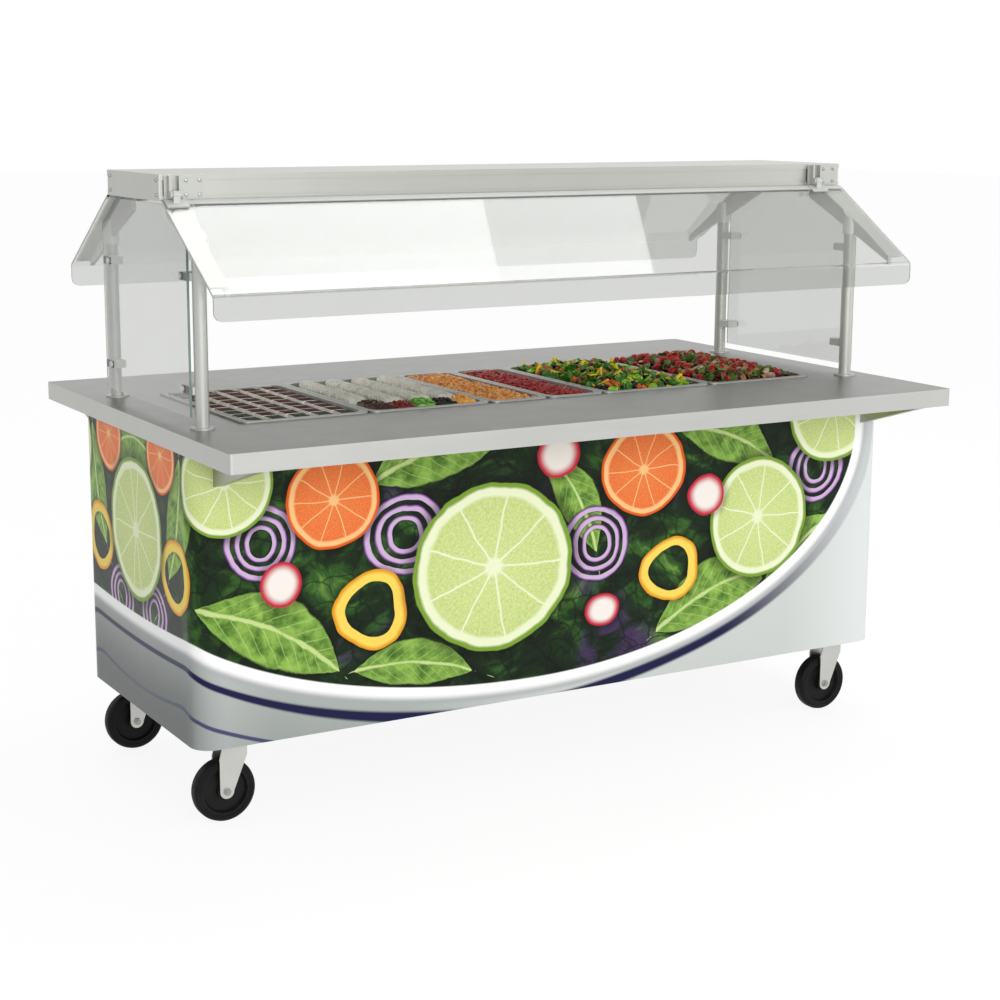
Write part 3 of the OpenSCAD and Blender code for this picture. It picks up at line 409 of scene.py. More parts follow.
def glassSheet(name, kind, values):
    # clear sheet with a greenish cut edge; lamps pass through it, tinted
    colour, edgeTone = values[kind][0], tone(*values[kind][1])
    paint = Paint(name)
    x, y, z = paint.split(paint.node("NewGeometry", out="Normal"))
    place = paint.place()
    haze = paint.noise(place, 5.0, 3.0)
    body = paint.surface(paint.mix(colour, darker(colour, 0.96), haze),
                         values["roughness"] + haze * 0.01, 0.0, transmission=1.0, ior=1.5)
    cut = paint.surface(paint.mix(edgeTone, darker(edgeTone, 0.8), paint.noise(place, 40.0)),
                        0.3, 0.0, coat=0.3)
    if kind == "end":
        edge = 1 - abs(x).ease(0.5, 0.7)
    else:
        edge = abs(x).ease(0.6, 0.8).maths("MAXIMUM", (-z).ease(0.92, 0.97))
    sheet = paint.blend(body, cut, edge * 0.75)
    lamp = paint.node("LightPath", out="Is Shadow Ray")
    clear = paint.node("BsdfTransparent", None, {"Color": values["lampTint"]})
    return paint.done(paint.blend(sheet, clear, lamp))


dress(glassSheet("endGlass", "end", glassLook), "end_glass_left", "end_glass_right")
dress(glassSheet("guardClear", "guard", glassLook), "front_guard", "back_guard")
print("glass done")


wrapShape = {
    "straight": (0.931, 0.315),        # half lengths of the flat faces, front and end
    "corner": 0.050,
    "skin": 0.0006,                    # how deep the print is taken to go
    "bandMiddle": -0.100,
    "bandLow": 0.243,
    "leftReach": (1.060, 0.445),
    "rightReach": (0.990, 0.545),
    "endHeight": 0.443,
    "endMiddle": -1.3245,              # along the skin, the middle of the left end
    "endReach": 0.3475,
    "endSag": 0.013,                   # the lines sag a little on the end
    "join": 0.03,                      # how softly the curve meets the line on the end
    "bandWidth": 0.030,
    "bandTones": ((252, 252, 250), (168, 170, 172)),
    "stripe": (0.058, 0.020, 0.013, 0.015),    # start, drop, least width, growth
    "stripeTone": (24, 24, 66),
    "thinLine": (0.150, 0.026, 0.0045),        # start, sag on the end, half width
    "thinTone": (62, 66, 104),
    # a printed grey-to-white ramp, except near the left rounded corner: the dark stop at 0.252 is
    # painted shade on its end side, and the light stops at 0.272 and 0.292 are a painted highlight
    # on its front side
    "ground": [(0.0, (150, 154, 151)), (0.252, (132, 137, 134)), (0.272, (158, 162, 160)),
               (0.292, (172, 175, 173)), (0.335, (157, 162, 158)), (0.46, (160, 165, 161)),
               (0.60, (200, 203, 200)), (0.88, (204, 207, 203)), (0.97, (222, 225, 224))],
    "groundSpan": (-1.7, 2.7),         # where the tones above start, and how far they reach
    # painted shade: the colour the left end face darkens to towards its bottom
    "paintedEndFootShade": (98, 103, 100),
    "nearBand": (214, 217, 215),
    "bareTones": ((202, 204, 200), (214, 216, 212)),
}
wrapPicture = {
    # distance along the skin from the middle of the front, height, radius, squash, turn
    "lime": [(-0.215, 0.535, 0.222, 0.94), (0.575, 0.575, 0.158, 1.02),
             (-1.3245, 0.64, 0.172, 1), (-0.905, 0.8, 0.12, 1), (0.815, 0.85, 0.15, 1)],
    "orange": [(0.215, 0.735, 0.128, 0.92), (-0.64, 0.74, 0.118, 0.95), (-1.15, 0.84, 0.09, 1)],
    "pepper": [(-0.545, 0.47, 0.1, 0.95), (0.3, 0.47, 0.092, 0.9), (-1.075, 0.575, 0.088, 1)],
    "radish": [(-0.035, 0.79, 0.066, 0.9), (0.405, 0.655, 0.06, 0.95),
               (-0.77, 0.56, 0.058, 1), (0.095, 0.39, 0.056, 0.8)],
    "onion": [(-0.455, 0.64, 0.12, 0.8), (0.075, 0.56, 0.105, 0.85), (0.76, 0.69, 0.1, 0.9),
              (-0.82, 0.66, 0.095, 0.9), (-1.215, 0.455, 0.09, 0.8)],
    "leaf": [(-0.79, 0.455, 0.2, 0.9, 28), (0.43, 0.4, 0.19, 0.9, -18),
             (0.7, 0.48, 0.15, 0.9, -40), (-0.43, 0.33, 0.16, 0.8, 8),
             (0.02, 0.68, 0.15, 0.8, 60), (-1.05, 0.7, 0.15, 0.9, 105),
             (-0.38, 0.83, 0.17, 0.9, -12), (0.48, 0.8, 0.16, 0.9, 20),
             (-1.27, 0.85, 0.12, 0.9, 15)],
    "drift": 0.022,                    # how far the outlines wander
}
wrapInks = {
    # screen tones; citrus: rind, pith, pulp, glow; rings: skin, flesh; leaf: dark, light, vein
    "lime": ((122, 158, 52), (236, 242, 204), (190, 208, 124), (226, 234, 168)),
    "orange": ((226, 92, 20), (250, 196, 132), (232, 104, 48), (246, 152, 84)),
    "pepper": ((228, 150, 26), (246, 214, 92)),
    "radish": ((196, 34, 60), (244, 236, 228)),
    "onion": ((96, 40, 120), (208, 176, 214)),
    "leaf": ((60, 104, 30), (150, 190, 84), (196, 218, 140)),
    "deep": [(0.30, (8, 16, 8)), (0.50, (22, 44, 18)), (0.62, (52, 92, 34)),
             (0.74, (120, 158, 70))],
    "deepViolet": (70, 34, 92),
    "deepVein": (10, 20, 10),
}


def along(paint):
    # distance along the skin from the middle of the long face; the same on both long faces
    shape = wrapShape
    x, y, z = paint.split(paint.place())
    longHalf, endHalf = shape["straight"]
    outX = (abs(x) - longHalf).maths("MAXIMUM", 0)
    outY = (abs(y) - endHalf).maths("MAXIMUM", 0)
    turned = outX.maths("ARCTAN2", outY)
    onEnd = (endHalf - abs(y)).maths("MAXIMUM", 0) * (outX > shape["corner"] * 0.5)
    far = abs(x).maths("MINIMUM", longHalf) + turned * shape["corner"] + onEnd
    inside = shape["corner"] - (outX * outX + outY * outY) ** 0.5
    return x.maths("SIGN") * far, z, inside < shape["skin"]


def locate(paint, spot, motifs):
    # the motif nearest to this spot: its own coordinates in radii, and how far out they are
    local = nearest = None
    for s, z, radius, squash, *turn in motifs:
        moved = paint.vector("SUBTRACT", spot, (s, z, 0))
        if turn:
            moved = paint.node("VectorRotate", {"rotation_type": "Z_AXIS"},
                               {"Vector": moved, "Angle": math.radians(turn[0])})
        scaled = paint.vector("MULTIPLY", moved, (1 / radius, 1 / (radius * squash), 0))
        out = paint.node("VectorMath", {"operation": "LENGTH"}, {0: scaled},
                         out="Value")
        if local is None:
            local, nearest = scaled, out
        else:
            local = paint.node("Mix", {"data_type": "VECTOR"},
                               {0: out < nearest, 4: local, 5: scaled}, out=1)
            nearest = out.maths("MINIMUM", nearest)
    return local, nearest


def lay(paint, below, motif, edge, shade, shadow, rim):
    # a motif on what is below it, with a soft shadow round it
    under = paint.dim(below, shade + edge.ease(*shadow) * (1 - shade))
    return paint.mix(under, motif, 1 - edge.ease(*rim))


def citrusWheel(paint, below, spot, kind, wedges):
    # a cut fruit: wedges with pulp and film, pith and rind
    rind, pith, pulp, glow = tones(wrapInks[kind])
    local, out = locate(paint, spot, wrapPicture[kind])
    u, v, w = paint.split(local)
    rough = paint.noise(spot, 18.0, 2.0) - 0.5
    rim = out + rough * 0.05
    angle = v.maths("ARCTAN2", u) * (wedges / (2 * math.pi)) + rough * 0.12
    wedge = abs(angle.maths("FRACT") - 0.5) * 2
    fibre = paint.noise(paint.join(angle * 3.5, out * 5.0), 5.0, 4.0, 0.6)
    flesh = paint.mix(pulp, glow, fibre.ease(0.3, 0.7) * (1 - out * 0.55))
    drop = paint.cells(paint.join(angle * 2.6, out * 7.0), 2.0)
    flesh = paint.mix(flesh, pith, (1 - drop.ease(0.0, 0.28)) * 0.35)
    film = ((wedge - 1) * -1 * out * 1.4).ease(0.02, 0.07)
    flesh = paint.mix(pith, flesh, film)
    flesh = paint.mix(pith, flesh, out.ease(0.07, 0.14))
    flesh = paint.mix(flesh, pith, rim.ease(0.80, 0.86))
    flesh = paint.mix(flesh, rind, rim.ease(0.915, 0.955))
    return lay(paint, below, flesh, rim, 0.35, (0.98, 1.22), (0.985, 1.0))


def ringMotif(paint, below, spot, kind, edges, lobes):
    # rings of an onion, a pepper or a radish: bands between inner and outer edges
    skin, flesh = tones(wrapInks[kind])
    local, out = locate(paint, spot, wrapPicture[kind])
    u, v, w = paint.split(local)
    angle = v.maths("ARCTAN2", u)
    uneven = paint.noise(spot, 14.0, 2.0) - 0.5
    rim = out + ((angle * lobes).maths("COSINE") * 0.05 + uneven * 0.14)
    colour = below
    for inner, outer in edges:
        middle = (inner + outer) / 2
        half = (outer - inner) / 2
        away = abs(rim - middle) / half
        body = paint.mix(flesh, skin, ((rim - middle) / half).ease(0.1, 0.9))
        colour = lay(paint, colour, body, away, 0.55, (1.0, 1.9), (0.94, 1.02))
    return colour


def leafMotif(paint, below, spot):
    # a leaf: wavy edge, side ribs, a pale midrib
    dark, light, vein = tones(wrapInks["leaf"])
    local, out = locate(paint, spot, wrapPicture["leaf"])
    u, v, w = paint.split(local)
    curl = paint.noise(spot, 26.0, 3.0, 0.6) - 0.5
    side = abs(v + u * u * 0.18) + curl * 0.09
    half = (1 - u * u).maths("MAXIMUM", 0) * 0.46
    across = side / (half + 0.001)
    ribs = abs((u * 5.0 - side * 5.5).maths("FRACT") - 0.5) * 2
    blade = paint.mix(dark, light, (curl + 0.5).ease(0.25, 0.75))
    blade = paint.mix(blade, vein, ribs.ease(0.86, 1.0) * 0.55)
    blade = paint.mix(vein, blade, side.ease(0.012, 0.04))
    blade = paint.mix(blade, light, across.ease(0.5, 1.0) * 0.35)
    return lay(paint, below, blade, across, 0.5, (1.0, 1.6), (0.94, 1.04))


def saladPrint(paint, flat, place, blotch):
    # dim leaves and shreds far behind, then the motifs from the back to the front
    drift = paint.node("TexNoise", None,
                       {"Vector": flat, "Scale": 6.0, "Detail": 2.0}, out="Color")
    drift = paint.vector("SUBTRACT", drift, (0.5, 0.5, 0.5))
    wander = wrapPicture["drift"]
    spot = paint.vector("ADD", flat, paint.vector("MULTIPLY", drift, (wander, wander, 0)))
    deep = paint.noise(paint.vector("MULTIPLY", place, (1.0, 1.0, 1.3)), 7.0, 5.0, 0.62, 1.2)
    bent = paint.vector("ADD", place, paint.vector("MULTIPLY", drift, (0.2, 0.2, 0.2)))
    veins = paint.cells(bent, 11.0, "DISTANCE_TO_EDGE")
    ground = paint.ramp(deep, *[(at, tone(*ink)) for at, ink in wrapInks["deep"]])
    ground = paint.mix(ground, tone(*wrapInks["deepViolet"]),
                       blotch.ease(0.54, 0.66) * deep.ease(0.40, 0.60) * 0.85)
    ground = paint.mix(ground, tone(*wrapInks["deepVein"]), (1 - veins.ease(0.0, 0.05)) * 0.7)
    colour = leafMotif(paint, ground, spot)
    colour = ringMotif(paint, colour, spot, "onion", [(0.34, 0.47), (0.58, 0.72), (0.82, 0.98)], 2)
    colour = ringMotif(paint, colour, spot, "pepper", [(0.66, 0.98)], 3)
    colour = citrusWheel(paint, colour, spot, "orange", 10)
    colour = citrusWheel(paint, colour, spot, "lime", 9)
    return ringMotif(paint, colour, spot, "radish", [(0.0, 0.99)], 0)


def bandDistance(paint, s, z, bow):
    # distance below the picture's curved edge, which is the band's upper side
    shape = wrapShape
    leftward = s < shape["bandMiddle"]
    reachX, reachZ = [leftward * (left - right) + right
                      for left, right in zip(shape["leftReach"], shape["rightReach"])]
    q = abs(s - shape["bandMiddle"]) / reachX
    w = ((shape["bandLow"] + reachZ - z) / reachZ).maths("MAXIMUM", 0)
    e = (q * q + w * w) ** 0.5
    slope = ((q / reachX) ** 2 + (w / reachZ) ** 2) ** 0.5
    out = (e - 1) * e.maths("MAXIMUM", 0.2) / slope.maths("MAXIMUM", 0.3)
    endLine = shape["endHeight"] - bow * shape["endSag"] - z
    return paint.node("Math", {"operation": "SMOOTH_MIN"},
                      {0: out, 1: endLine + (s > -0.6) * 9, 2: shape["join"]})


def paleGroundAndShade(paint, s, z, out, bow):
    # plain tones below the band, greyer towards the left end, with two stripes; painted shade
    # darkens the foot of the left end and the end side of its corner, and a painted highlight lies
    # on the corner's front side
    shape = wrapShape
    start, span = shape["groundSpan"]
    base = paint.ramp((s - start) / span, *[(at, tone(*ink)) for at, ink in shape["ground"]])
    # painted shade: the left end face darkens towards its bottom
    low = (1 - z.ease(0.22, 0.40)) * (1 - s.ease(-1.03, -0.98))
    base = paint.mix(base, tone(*shape["paintedEndFootShade"]), low * 0.85)
    near = 1 - (out / 0.16).ease(0.0, 1.0)
    base = paint.mix(base, tone(*shape["nearBand"]), near * 0.22)
    start, drop, width, growth = shape["stripe"]
    start = start - s.ease(-0.3, 0.35) * drop
    half = (width + s.ease(-1.1, -0.4) * growth) * 0.5
    stripe = 1 - (abs(out - start - half) / half).ease(0.60, 1.30)
    base = paint.mix(base, tone(*shape["stripeTone"]), stripe * (1 - s.ease(0.45, 0.95) * 0.8))
    start, sag, half = shape["thinLine"]
    thin = 1 - (abs(out - (bow * sag + start)) / half).ease(0.6, 1.3)
    thin = thin * (1 - s.ease(-0.62, -0.5)) * (0.45 + s.ease(-1.35, -0.95) * 0.5)
    base = paint.mix(base, tone(*shape["thinTone"]), thin)
    across = out / shape["bandWidth"]
    light, shade = tones(shape["bandTones"])
    band = paint.mix(light, shade, across.ease(0.55, 1.25))
    return paint.mix(base, band, 1 - across.ease(0.9, 1.6))


def wrapLook():
    # a generic salad print over a pale ground, parted by a curved band with two stripes; the pale
    # ground also carries painted shade and a painted highlight at the left end
    shape = wrapShape
    paint = Paint("printedWrap")
    s, z, outer = along(paint)
    place = paint.place()
    blotch = paint.noise(place, 3.2, 2.0)
    picture = saladPrint(paint, paint.join(s, z), place, blotch)
    bow = (1 - ((s - shape["endMiddle"]) / shape["endReach"]) ** 2).maths("MAXIMUM", 0)
    out = bandDistance(paint, s, z, bow)
    printed = paint.mix(picture, paleGroundAndShade(paint, s, z, out, bow), out.ease(-0.002, 0.002))
    bare = paint.mix(*tones(shape["bareTones"]), blotch)
    rough = 0.30 + paint.noise(place, 40.0, 3.0) * 0.1
    return paint.done(paint.surface(paint.mix(bare, printed, outer), rough, 0.0,
                                    paint.bump(paint.noise(place, 300.0, 2.0), 0.00005),
                                    coat=0.03, coatRoughness=0.12, specular=0.14))


dress(wrapLook(), "cabinet_shell", "access_door")
print("wrap done")


def deselectAll():
    if bpy.context.mode != "OBJECT":
        bpy.ops.object.mode_set(mode="OBJECT")
    bpy.ops.object.select_all(action="DESELECT")


def addShape(name, looks, maker, **values):
    # a primitive at its size and place, the only thing selected
    deselectAll()
    maker(**values)
    piece = bpy.context.object
    piece.name = name
    for look in looks:
        piece.data.materials.append(look)
    bpy.ops.object.transform_apply(location=True, rotation=True, scale=True)
    return piece


def every(part):
    return True


def pick(piece, what, test=every):
    # edit mode, with the faces, edges or points that pass the test selected
    if piece.mode != "EDIT":
        bpy.ops.object.mode_set(mode="EDIT")
    kinds = ("points", "edges", "faces")
    bpy.context.tool_settings.mesh_select_mode = [what == kind for kind in kinds]
    bpy.ops.mesh.select_all(action="DESELECT")
    mesh = bmesh.from_edit_mesh(piece.data)
    for part in (mesh.verts, mesh.edges, mesh.faces)[kinds.index(what)]:
        part.select_set(bool(test(part)))
    mesh.select_flush_mode()
    bmesh.update_edit_mesh(piece.data)


def shift(piece, test, by):
    pick(piece, "points", test)
    bpy.ops.transform.translate(value=by)


def squeeze(piece, test, by, centre=(0, 0, 0)):
    pick(piece, "points", test)
    bpy.ops.transform.resize(value=by, center_override=centre)


def soften(piece, test, offset, segments=1):
    pick(piece, "edges", test)
    bpy.ops.mesh.bevel(offset=offset, segments=segments, affect="EDGES")


def paintPicked(piece, slot):
    piece.active_material_index = slot
    bpy.ops.object.material_slot_assign()


def modify(piece, kind, **values):
    if piece.mode != "OBJECT":
        bpy.ops.object.mode_set(mode="OBJECT")
    modifier = piece.modifiers.new(kind, kind)
    for key, value in values.items():
        setattr(modifier, key, value)
    bpy.ops.object.modifier_apply(modifier=modifier.name)


def finishMaster(piece, angle):
    bpy.ops.object.mode_set(mode="OBJECT")
    bpy.ops.object.shade_smooth_by_angle(angle=math.radians(angle))
    return piece


def copyOf(master, place, turn=(0, 0, 0), size=1.0, looks=()):
    # a twin with its own mesh
    twin = master.copy()
    twin.data = master.data.copy()
    for slot, look in enumerate(looks):
        twin.data.materials[slot] = look
    bpy.context.scene.collection.objects.link(twin)
    twin.matrix_world = Matrix.LocRotScale(Vector(place), Euler(turn), Vector((size, size, size)))
    return twin


def gather(name, first, others, masters):
    # one piece from many; what they were copied from goes
    deselectAll()
    for piece in [first] + others:
        piece.select_set(True)
    bpy.context.view_layer.objects.active = first
    bpy.ops.object.join()
    first.name = first.data.name = name
    bpy.ops.object.transform_apply(location=True, rotation=True, scale=True)
    for master in masters:
        bpy.data.objects.remove(master, do_unlink=True)
    return first


def foodLook(name, colours, patch, grain, roughness=0.42, coat=0.25, depth=0.0004,
             contrast=0.3, specular=0.22):
    # colour that changes from piece to piece, with fine fibres and a moist surface
    paint = Paint(name)
    place = paint.place()
    spread = 0.34 / max(len(colours) - 1, 1)
    stops = [(0.33 + spread * i, colour) for i, colour in enumerate(tones(colours))]
    colour = paint.ramp(paint.noise(place, patch, 2.0), *stops)
    fibre = paint.noise(place, grain, 3.0, 0.6)
    tint = paint.dim(colour, (1 - contrast / 2) + fibre * contrast)
    return paint.done(paint.surface(tint, roughness + (fibre - 0.5) * 0.2, 0.0,
                                    paint.bump(fibre, depth), coat=coat * 0.35,
                                    coatRoughness=0.2, specular=specular))


panFill = {
    "level": 0.9003,         # flat fillings, below the pans' rims
    "heapEdge": 0.9063,      # where a heap meets the pan's wall
    "heapBase": 0.004,       # how far under that edge a heap's bed ends
    "lean": 0.0088,          # how far the pans' walls come in at the floor
    "corner": 0.0312,
    "margin": 0.0109,        # keeps square cuts out of the round corners
}


def insideOf(node):
    # middle, half width, half depth and floor of a pan's filling
    low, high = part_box(node)
    return (low[0] + high[0]) / 2, (high[0] - low[0]) / 2, (high[1] - low[1]) / 2, low[2]


def moundAt(x, y, inside, crown):
    # height over a heap's edge
    middle, halfX, halfY, floor = inside
    k = min(max(min(halfX - abs(x - middle), halfY - abs(y)), 0) / halfX, 0.8)
    return crown * (1 - (1 - k) ** 2)


def foodBed(node, level, crown, look):
    # the filling itself: round corners, sides that lean in with the pan's, a low mound on top
    middle, halfX, halfY, floor = inside = insideOf(node)
    piece = addShape("bed_" + node, [look], bpy.ops.mesh.primitive_cube_add, size=1,
                     location=(middle, 0, (floor + level) / 2),
                     scale=(2 * halfX, 2 * halfY, level - floor))
    soften(piece, lambda edge: abs(edge.verts[0].co.z - edge.verts[1].co.z) > 0.01,
           panFill["corner"], 6)
    pick(piece, "faces", lambda face: face.normal.z < -0.9)
    bpy.ops.transform.resize(value=(1 - panFill["lean"] / halfX, 1 - panFill["lean"] / halfY, 1),
                             center_override=(middle, 0, floor))
    pick(piece, "faces", lambda face: face.normal.z > 0.9)
    for step in range(4):
        edge, top = 1.0 - 0.2 * step, 0.8 - 0.2 * step
        rise = (moundAt(middle + halfX * top, 0, inside, crown)
                - moundAt(middle + halfX * edge, 0, inside, crown))
        deep = (halfY - halfX * (1 - top)) / (halfY - halfX * (1 - edge))
        bpy.ops.mesh.extrude_region_move(TRANSFORM_OT_translate={"value": (0, 0, rise + 0.0001)})
        bpy.ops.transform.resize(value=(top / edge, deep, 1), center_override=(middle, 0, level))
    finishMaster(piece, 50)
    return piece, inside


def loosely(inside, pitch, margin, dice):
    # spots on a loose grid within the pan's outline
    middle, halfX, halfY, floor = inside
    corner = panFill["corner"]
    reach = (halfX - margin, halfY - margin)
    counts = [int(2 * far / step) + 1 for far, step in zip(reach, pitch)]
    for i in range(counts[0]):
        for j in range(counts[1]):
            spot = [(n + 0.5 - count / 2) * 2 * far / count + dice.uniform(-0.3, 0.3) * step
                    for n, count, far, step in zip((i, j), counts, reach, pitch)]
            x, y = [max(-far, min(far, v)) for v, far in zip(spot, reach)]
            out = math.hypot(max(abs(x) - (halfX - corner), 0), max(abs(y) - (halfY - corner), 0))
            if out < corner - margin:
                yield middle + x, y


def cubeMaster(name, size, rounding, look):
    # a small block with its edges taken off
    piece = addShape(name, [look], bpy.ops.mesh.primitive_cube_add, size=1, scale=size)
    soften(piece, every, rounding)
    return finishMaster(piece, 30)


def beanMaster(name, length, width, look):
    # a kidney: a small ball drawn out, hollowed on one side
    piece = addShape(name, [look], bpy.ops.mesh.primitive_uv_sphere_add, segments=8,
                     ring_count=6, radius=width / 2, rotation=(0, math.pi / 2, 0))
    squeeze(piece, every, (length / width, 1, 0.85))
    shift(piece, lambda point: abs(point.co.x) > length * 0.3, (0, width * 0.16, 0))
    shift(piece, lambda point: abs(point.co.x) < length * 0.1 and point.co.y > width * 0.2,
          (0, -width * 0.12, 0))
    return finishMaster(piece, 80)


def leafMaster(name, length, width, crinkle, look):
    # a leaf: drawn in at both ends, folded up from its rib, then crinkled
    piece = addShape(name, [look], bpy.ops.mesh.primitive_grid_add, size=1,
                     x_subdivisions=6, y_subdivisions=4)
    squeeze(piece, every, (length, width, 1))
    for where, narrow in ((0.45, 0.25), (0.30, 0.82)):
        squeeze(piece, lambda point: abs(point.co.x) > length * where, (1, narrow, 1))
    for side in (0.2, 0.4):
        shift(piece, lambda point: abs(point.co.y) > width * side, (0, 0, width * 0.10))
    for where, lift in ((0.2, 0.10), (0.4, 0.08)):
        shift(piece, lambda point: point.co.x > length * where, (0, 0, length * lift))
    clouds = bpy.data.textures.new(name + "Crinkle", "CLOUDS")
    clouds.noise_scale = 0.012
    modify(piece, "DISPLACE", texture=clouds, strength=crinkle, texture_coords="LOCAL")
    modify(piece, "SOLIDIFY", thickness=0.0008, offset=0)
    return finishMaster(piece, 70)


def stripMaster(name, width, thick, steps, look):
    # a cut strip: one end drawn out again and again, turning a little each time
    piece = addShape(name, [look], bpy.ops.mesh.primitive_cube_add, size=1,
                     scale=(width, width, thick))
    pick(piece, "faces", lambda face: face.normal.x > 0.9)
    reach = width * 0.5
    for step in range(steps):
        bpy.ops.mesh.extrude_region_move(TRANSFORM_OT_translate={"value": (width * 1.1, 0, 0)})
        reach += width * 1.1
        bpy.ops.transform.rotate(value=0.28, orient_axis="Z",
                                 center_override=(reach, width * 1.5, 0))
    shift(piece, every, (-reach / 2, 0, 0))
    soften(piece, lambda edge: edge.is_manifold and edge.calc_face_angle(0) > 1.0, thick * 0.22)
    return finishMaster(piece, 50)


def roundMaster(name, radius, thick, sides, cup, capLook, rimLook):
    # a slice of something round: a skin at the rim, the cut faces slightly hollow
    piece = addShape(name, [capLook, rimLook], bpy.ops.mesh.primitive_cylinder_add,
                     vertices=sides, radius=radius, depth=thick, end_fill_type="TRIFAN")
    shift(piece, lambda point: point.co.xy.length < radius * 0.1, (0, 0, -cup))
    pick(piece, "faces", lambda face: abs(face.normal.z) < 0.5)
    paintPicked(piece, 1)
    soften(piece, lambda edge: all(v.co.xy.length > radius * 0.9 for v in edge.verts)
           and abs(edge.verts[0].co.z - edge.verts[1].co.z) < thick * 0.1, thick * 0.22)
    return finishMaster(piece, 50)


def ringMaster(name, radius, thick, look):
    piece = addShape(name, [look], bpy.ops.mesh.primitive_torus_add, major_segments=12,
                     minor_segments=6, major_radius=radius, minor_radius=thick)
    squeeze(piece, every, (1, 0.9, 1.25))
    return finishMaster(piece, 80)


def halfMaster(name, radius, skinLook, fleshLook):
    # a small round fruit, cut in half
    piece = addShape(name, [skinLook, fleshLook], bpy.ops.mesh.primitive_uv_sphere_add,
                     segments=10, ring_count=8, radius=radius)
    pick(piece, "faces")
    bpy.ops.mesh.bisect(plane_co=(0, 0, -radius * 0.05), plane_no=(0, 0, 1), use_fill=True,
                        clear_inner=True)
    pick(piece, "faces", lambda face: face.normal.z < -0.95 and face.calc_center_median().z < 0)
    paintPicked(piece, 1)
    bpy.ops.mesh.inset(thickness=radius * 0.16, depth=-radius * 0.06)
    return finishMaster(piece, 50)


def anyTurn(dice, tilt=math.pi):
    return (dice.uniform(-tilt, tilt), dice.uniform(-tilt, tilt), dice.uniform(0, 2 * math.pi))


squareFood = {
    "columns": 5, "rows": 9, "gapX": 0.019, "gapY": 0.006, "height": 0.017, "seed": 11,
    "layer": -0.002, "bulge": 1.035,       # where the two layers meet, and how far that stands out
    "slip": 0.0012, "twist": 0.05,         # how far a square strays from its row
    "top": [(54, 26, 20), (86, 48, 38), (70, 38, 30)],
    "side": [(224, 220, 210), (236, 232, 224)],
    "frontTop": [(22, 28, 22), (38, 52, 36), (70, 80, 66)],
    "paper": [(204, 202, 194), (216, 213, 206)],
}


def makeSquares(values):
    # dark squares in two layers, in straight rows on paper, the nearest ones dark green
    dice = random.Random(values["seed"])
    top = foodLook("bakedTop", values["top"], 30, 600, 0.65, 0.0, 0.0006, specular=0.05)
    side = foodLook("paleCrumb", values["side"], 60, 900, 0.7, 0.0, 0.0005)
    herb = foodLook("herbTop", values["frontTop"], 130, 500, 0.6, 0.05, 0.0008, specular=0.05)
    paper = foodLook("trayPaper", values["paper"], 12, 300, 0.7, 0.0, 0.0003, 0.1)
    bed, inside = foodBed("food_1_dark_squares", panFill["level"], 0.0, paper)
    middle = inside[0]
    spanX, spanY = [2 * (half - panFill["margin"]) for half in inside[1:3]]
    pitchX = (spanX + values["gapX"]) / values["columns"]
    pitchY = (spanY + values["gapY"]) / values["rows"]
    size = (pitchX - values["gapX"], pitchY - values["gapY"], values["height"])
    master = addShape("squareMaster", [side, top], bpy.ops.mesh.primitive_cube_add, size=1,
                      scale=size)
    pick(master, "faces", lambda face: face.normal.z > 0.9)
    paintPicked(master, 1)
    soften(master, lambda edge: edge.calc_length() > 0.001
           and (edge.verts[0].co.z > 0 or edge.verts[1].co.z > 0), 0.0028, 2)
    pick(master, "faces")
    layer, bulge, slip = values["layer"], values["bulge"], values["slip"]
    bpy.ops.mesh.bisect(plane_co=(0, 0, layer), plane_no=(0, 0, 1))
    soften(master, lambda edge: all(abs(v.co.z - layer) < 0.0002 for v in edge.verts), 0.0011, 2)
    squeeze(master, lambda point: abs(point.co.z - layer) < 0.0002, (bulge, bulge, 1),
            (0, 0, layer))
    finishMaster(master, 40)
    twins = []
    for i in range(values["columns"]):
        for j in range(values["rows"]):
            place = (middle - spanX / 2 + size[0] / 2 + i * pitchX + dice.uniform(-slip, slip),
                     -spanY / 2 + size[1] / 2 + j * pitchY + dice.uniform(-slip, slip),
                     panFill["level"] + values["height"] / 2 - 0.0006)
            looks = [side, herb] if j == 0 or (i == 0 and j < 3) else [side, top]
            turn = (0, 0, dice.uniform(-values["twist"], values["twist"]))
            twins.append(copyOf(master, place, turn, 1.0, looks))
    return gather("squaresInRows", bed, twins, [master])


sliceFood = {
    "rows": 4, "rowGap": 0.018, "step": 0.0175, "tilt": 27, "slip": 0.0012, "seed": 12,
    "radius": 0.0272, "thick": 0.0050, "hollow": 0.0012,
    "flesh": [(188, 186, 172), (216, 213, 200), (200, 197, 181)],
    "rim": [(186, 186, 164), (204, 202, 182)],
    "bed": [(166, 164, 148), (184, 180, 164)],
    "items": 5, "itemGap": 0.004, "firstDepth": 0.116, "itemDepth": 0.062, "itemHeight": 0.023,
    "bitPitch": 0.0084,
    "itemTones": [[(38, 16, 12), (66, 28, 18)], [(84, 10, 6), (126, 24, 12)],
                  [(84, 140, 50), (136, 190, 94)], [(10, 6, 8), (34, 20, 22)],
                  [(206, 130, 36), (232, 170, 78)]],
}


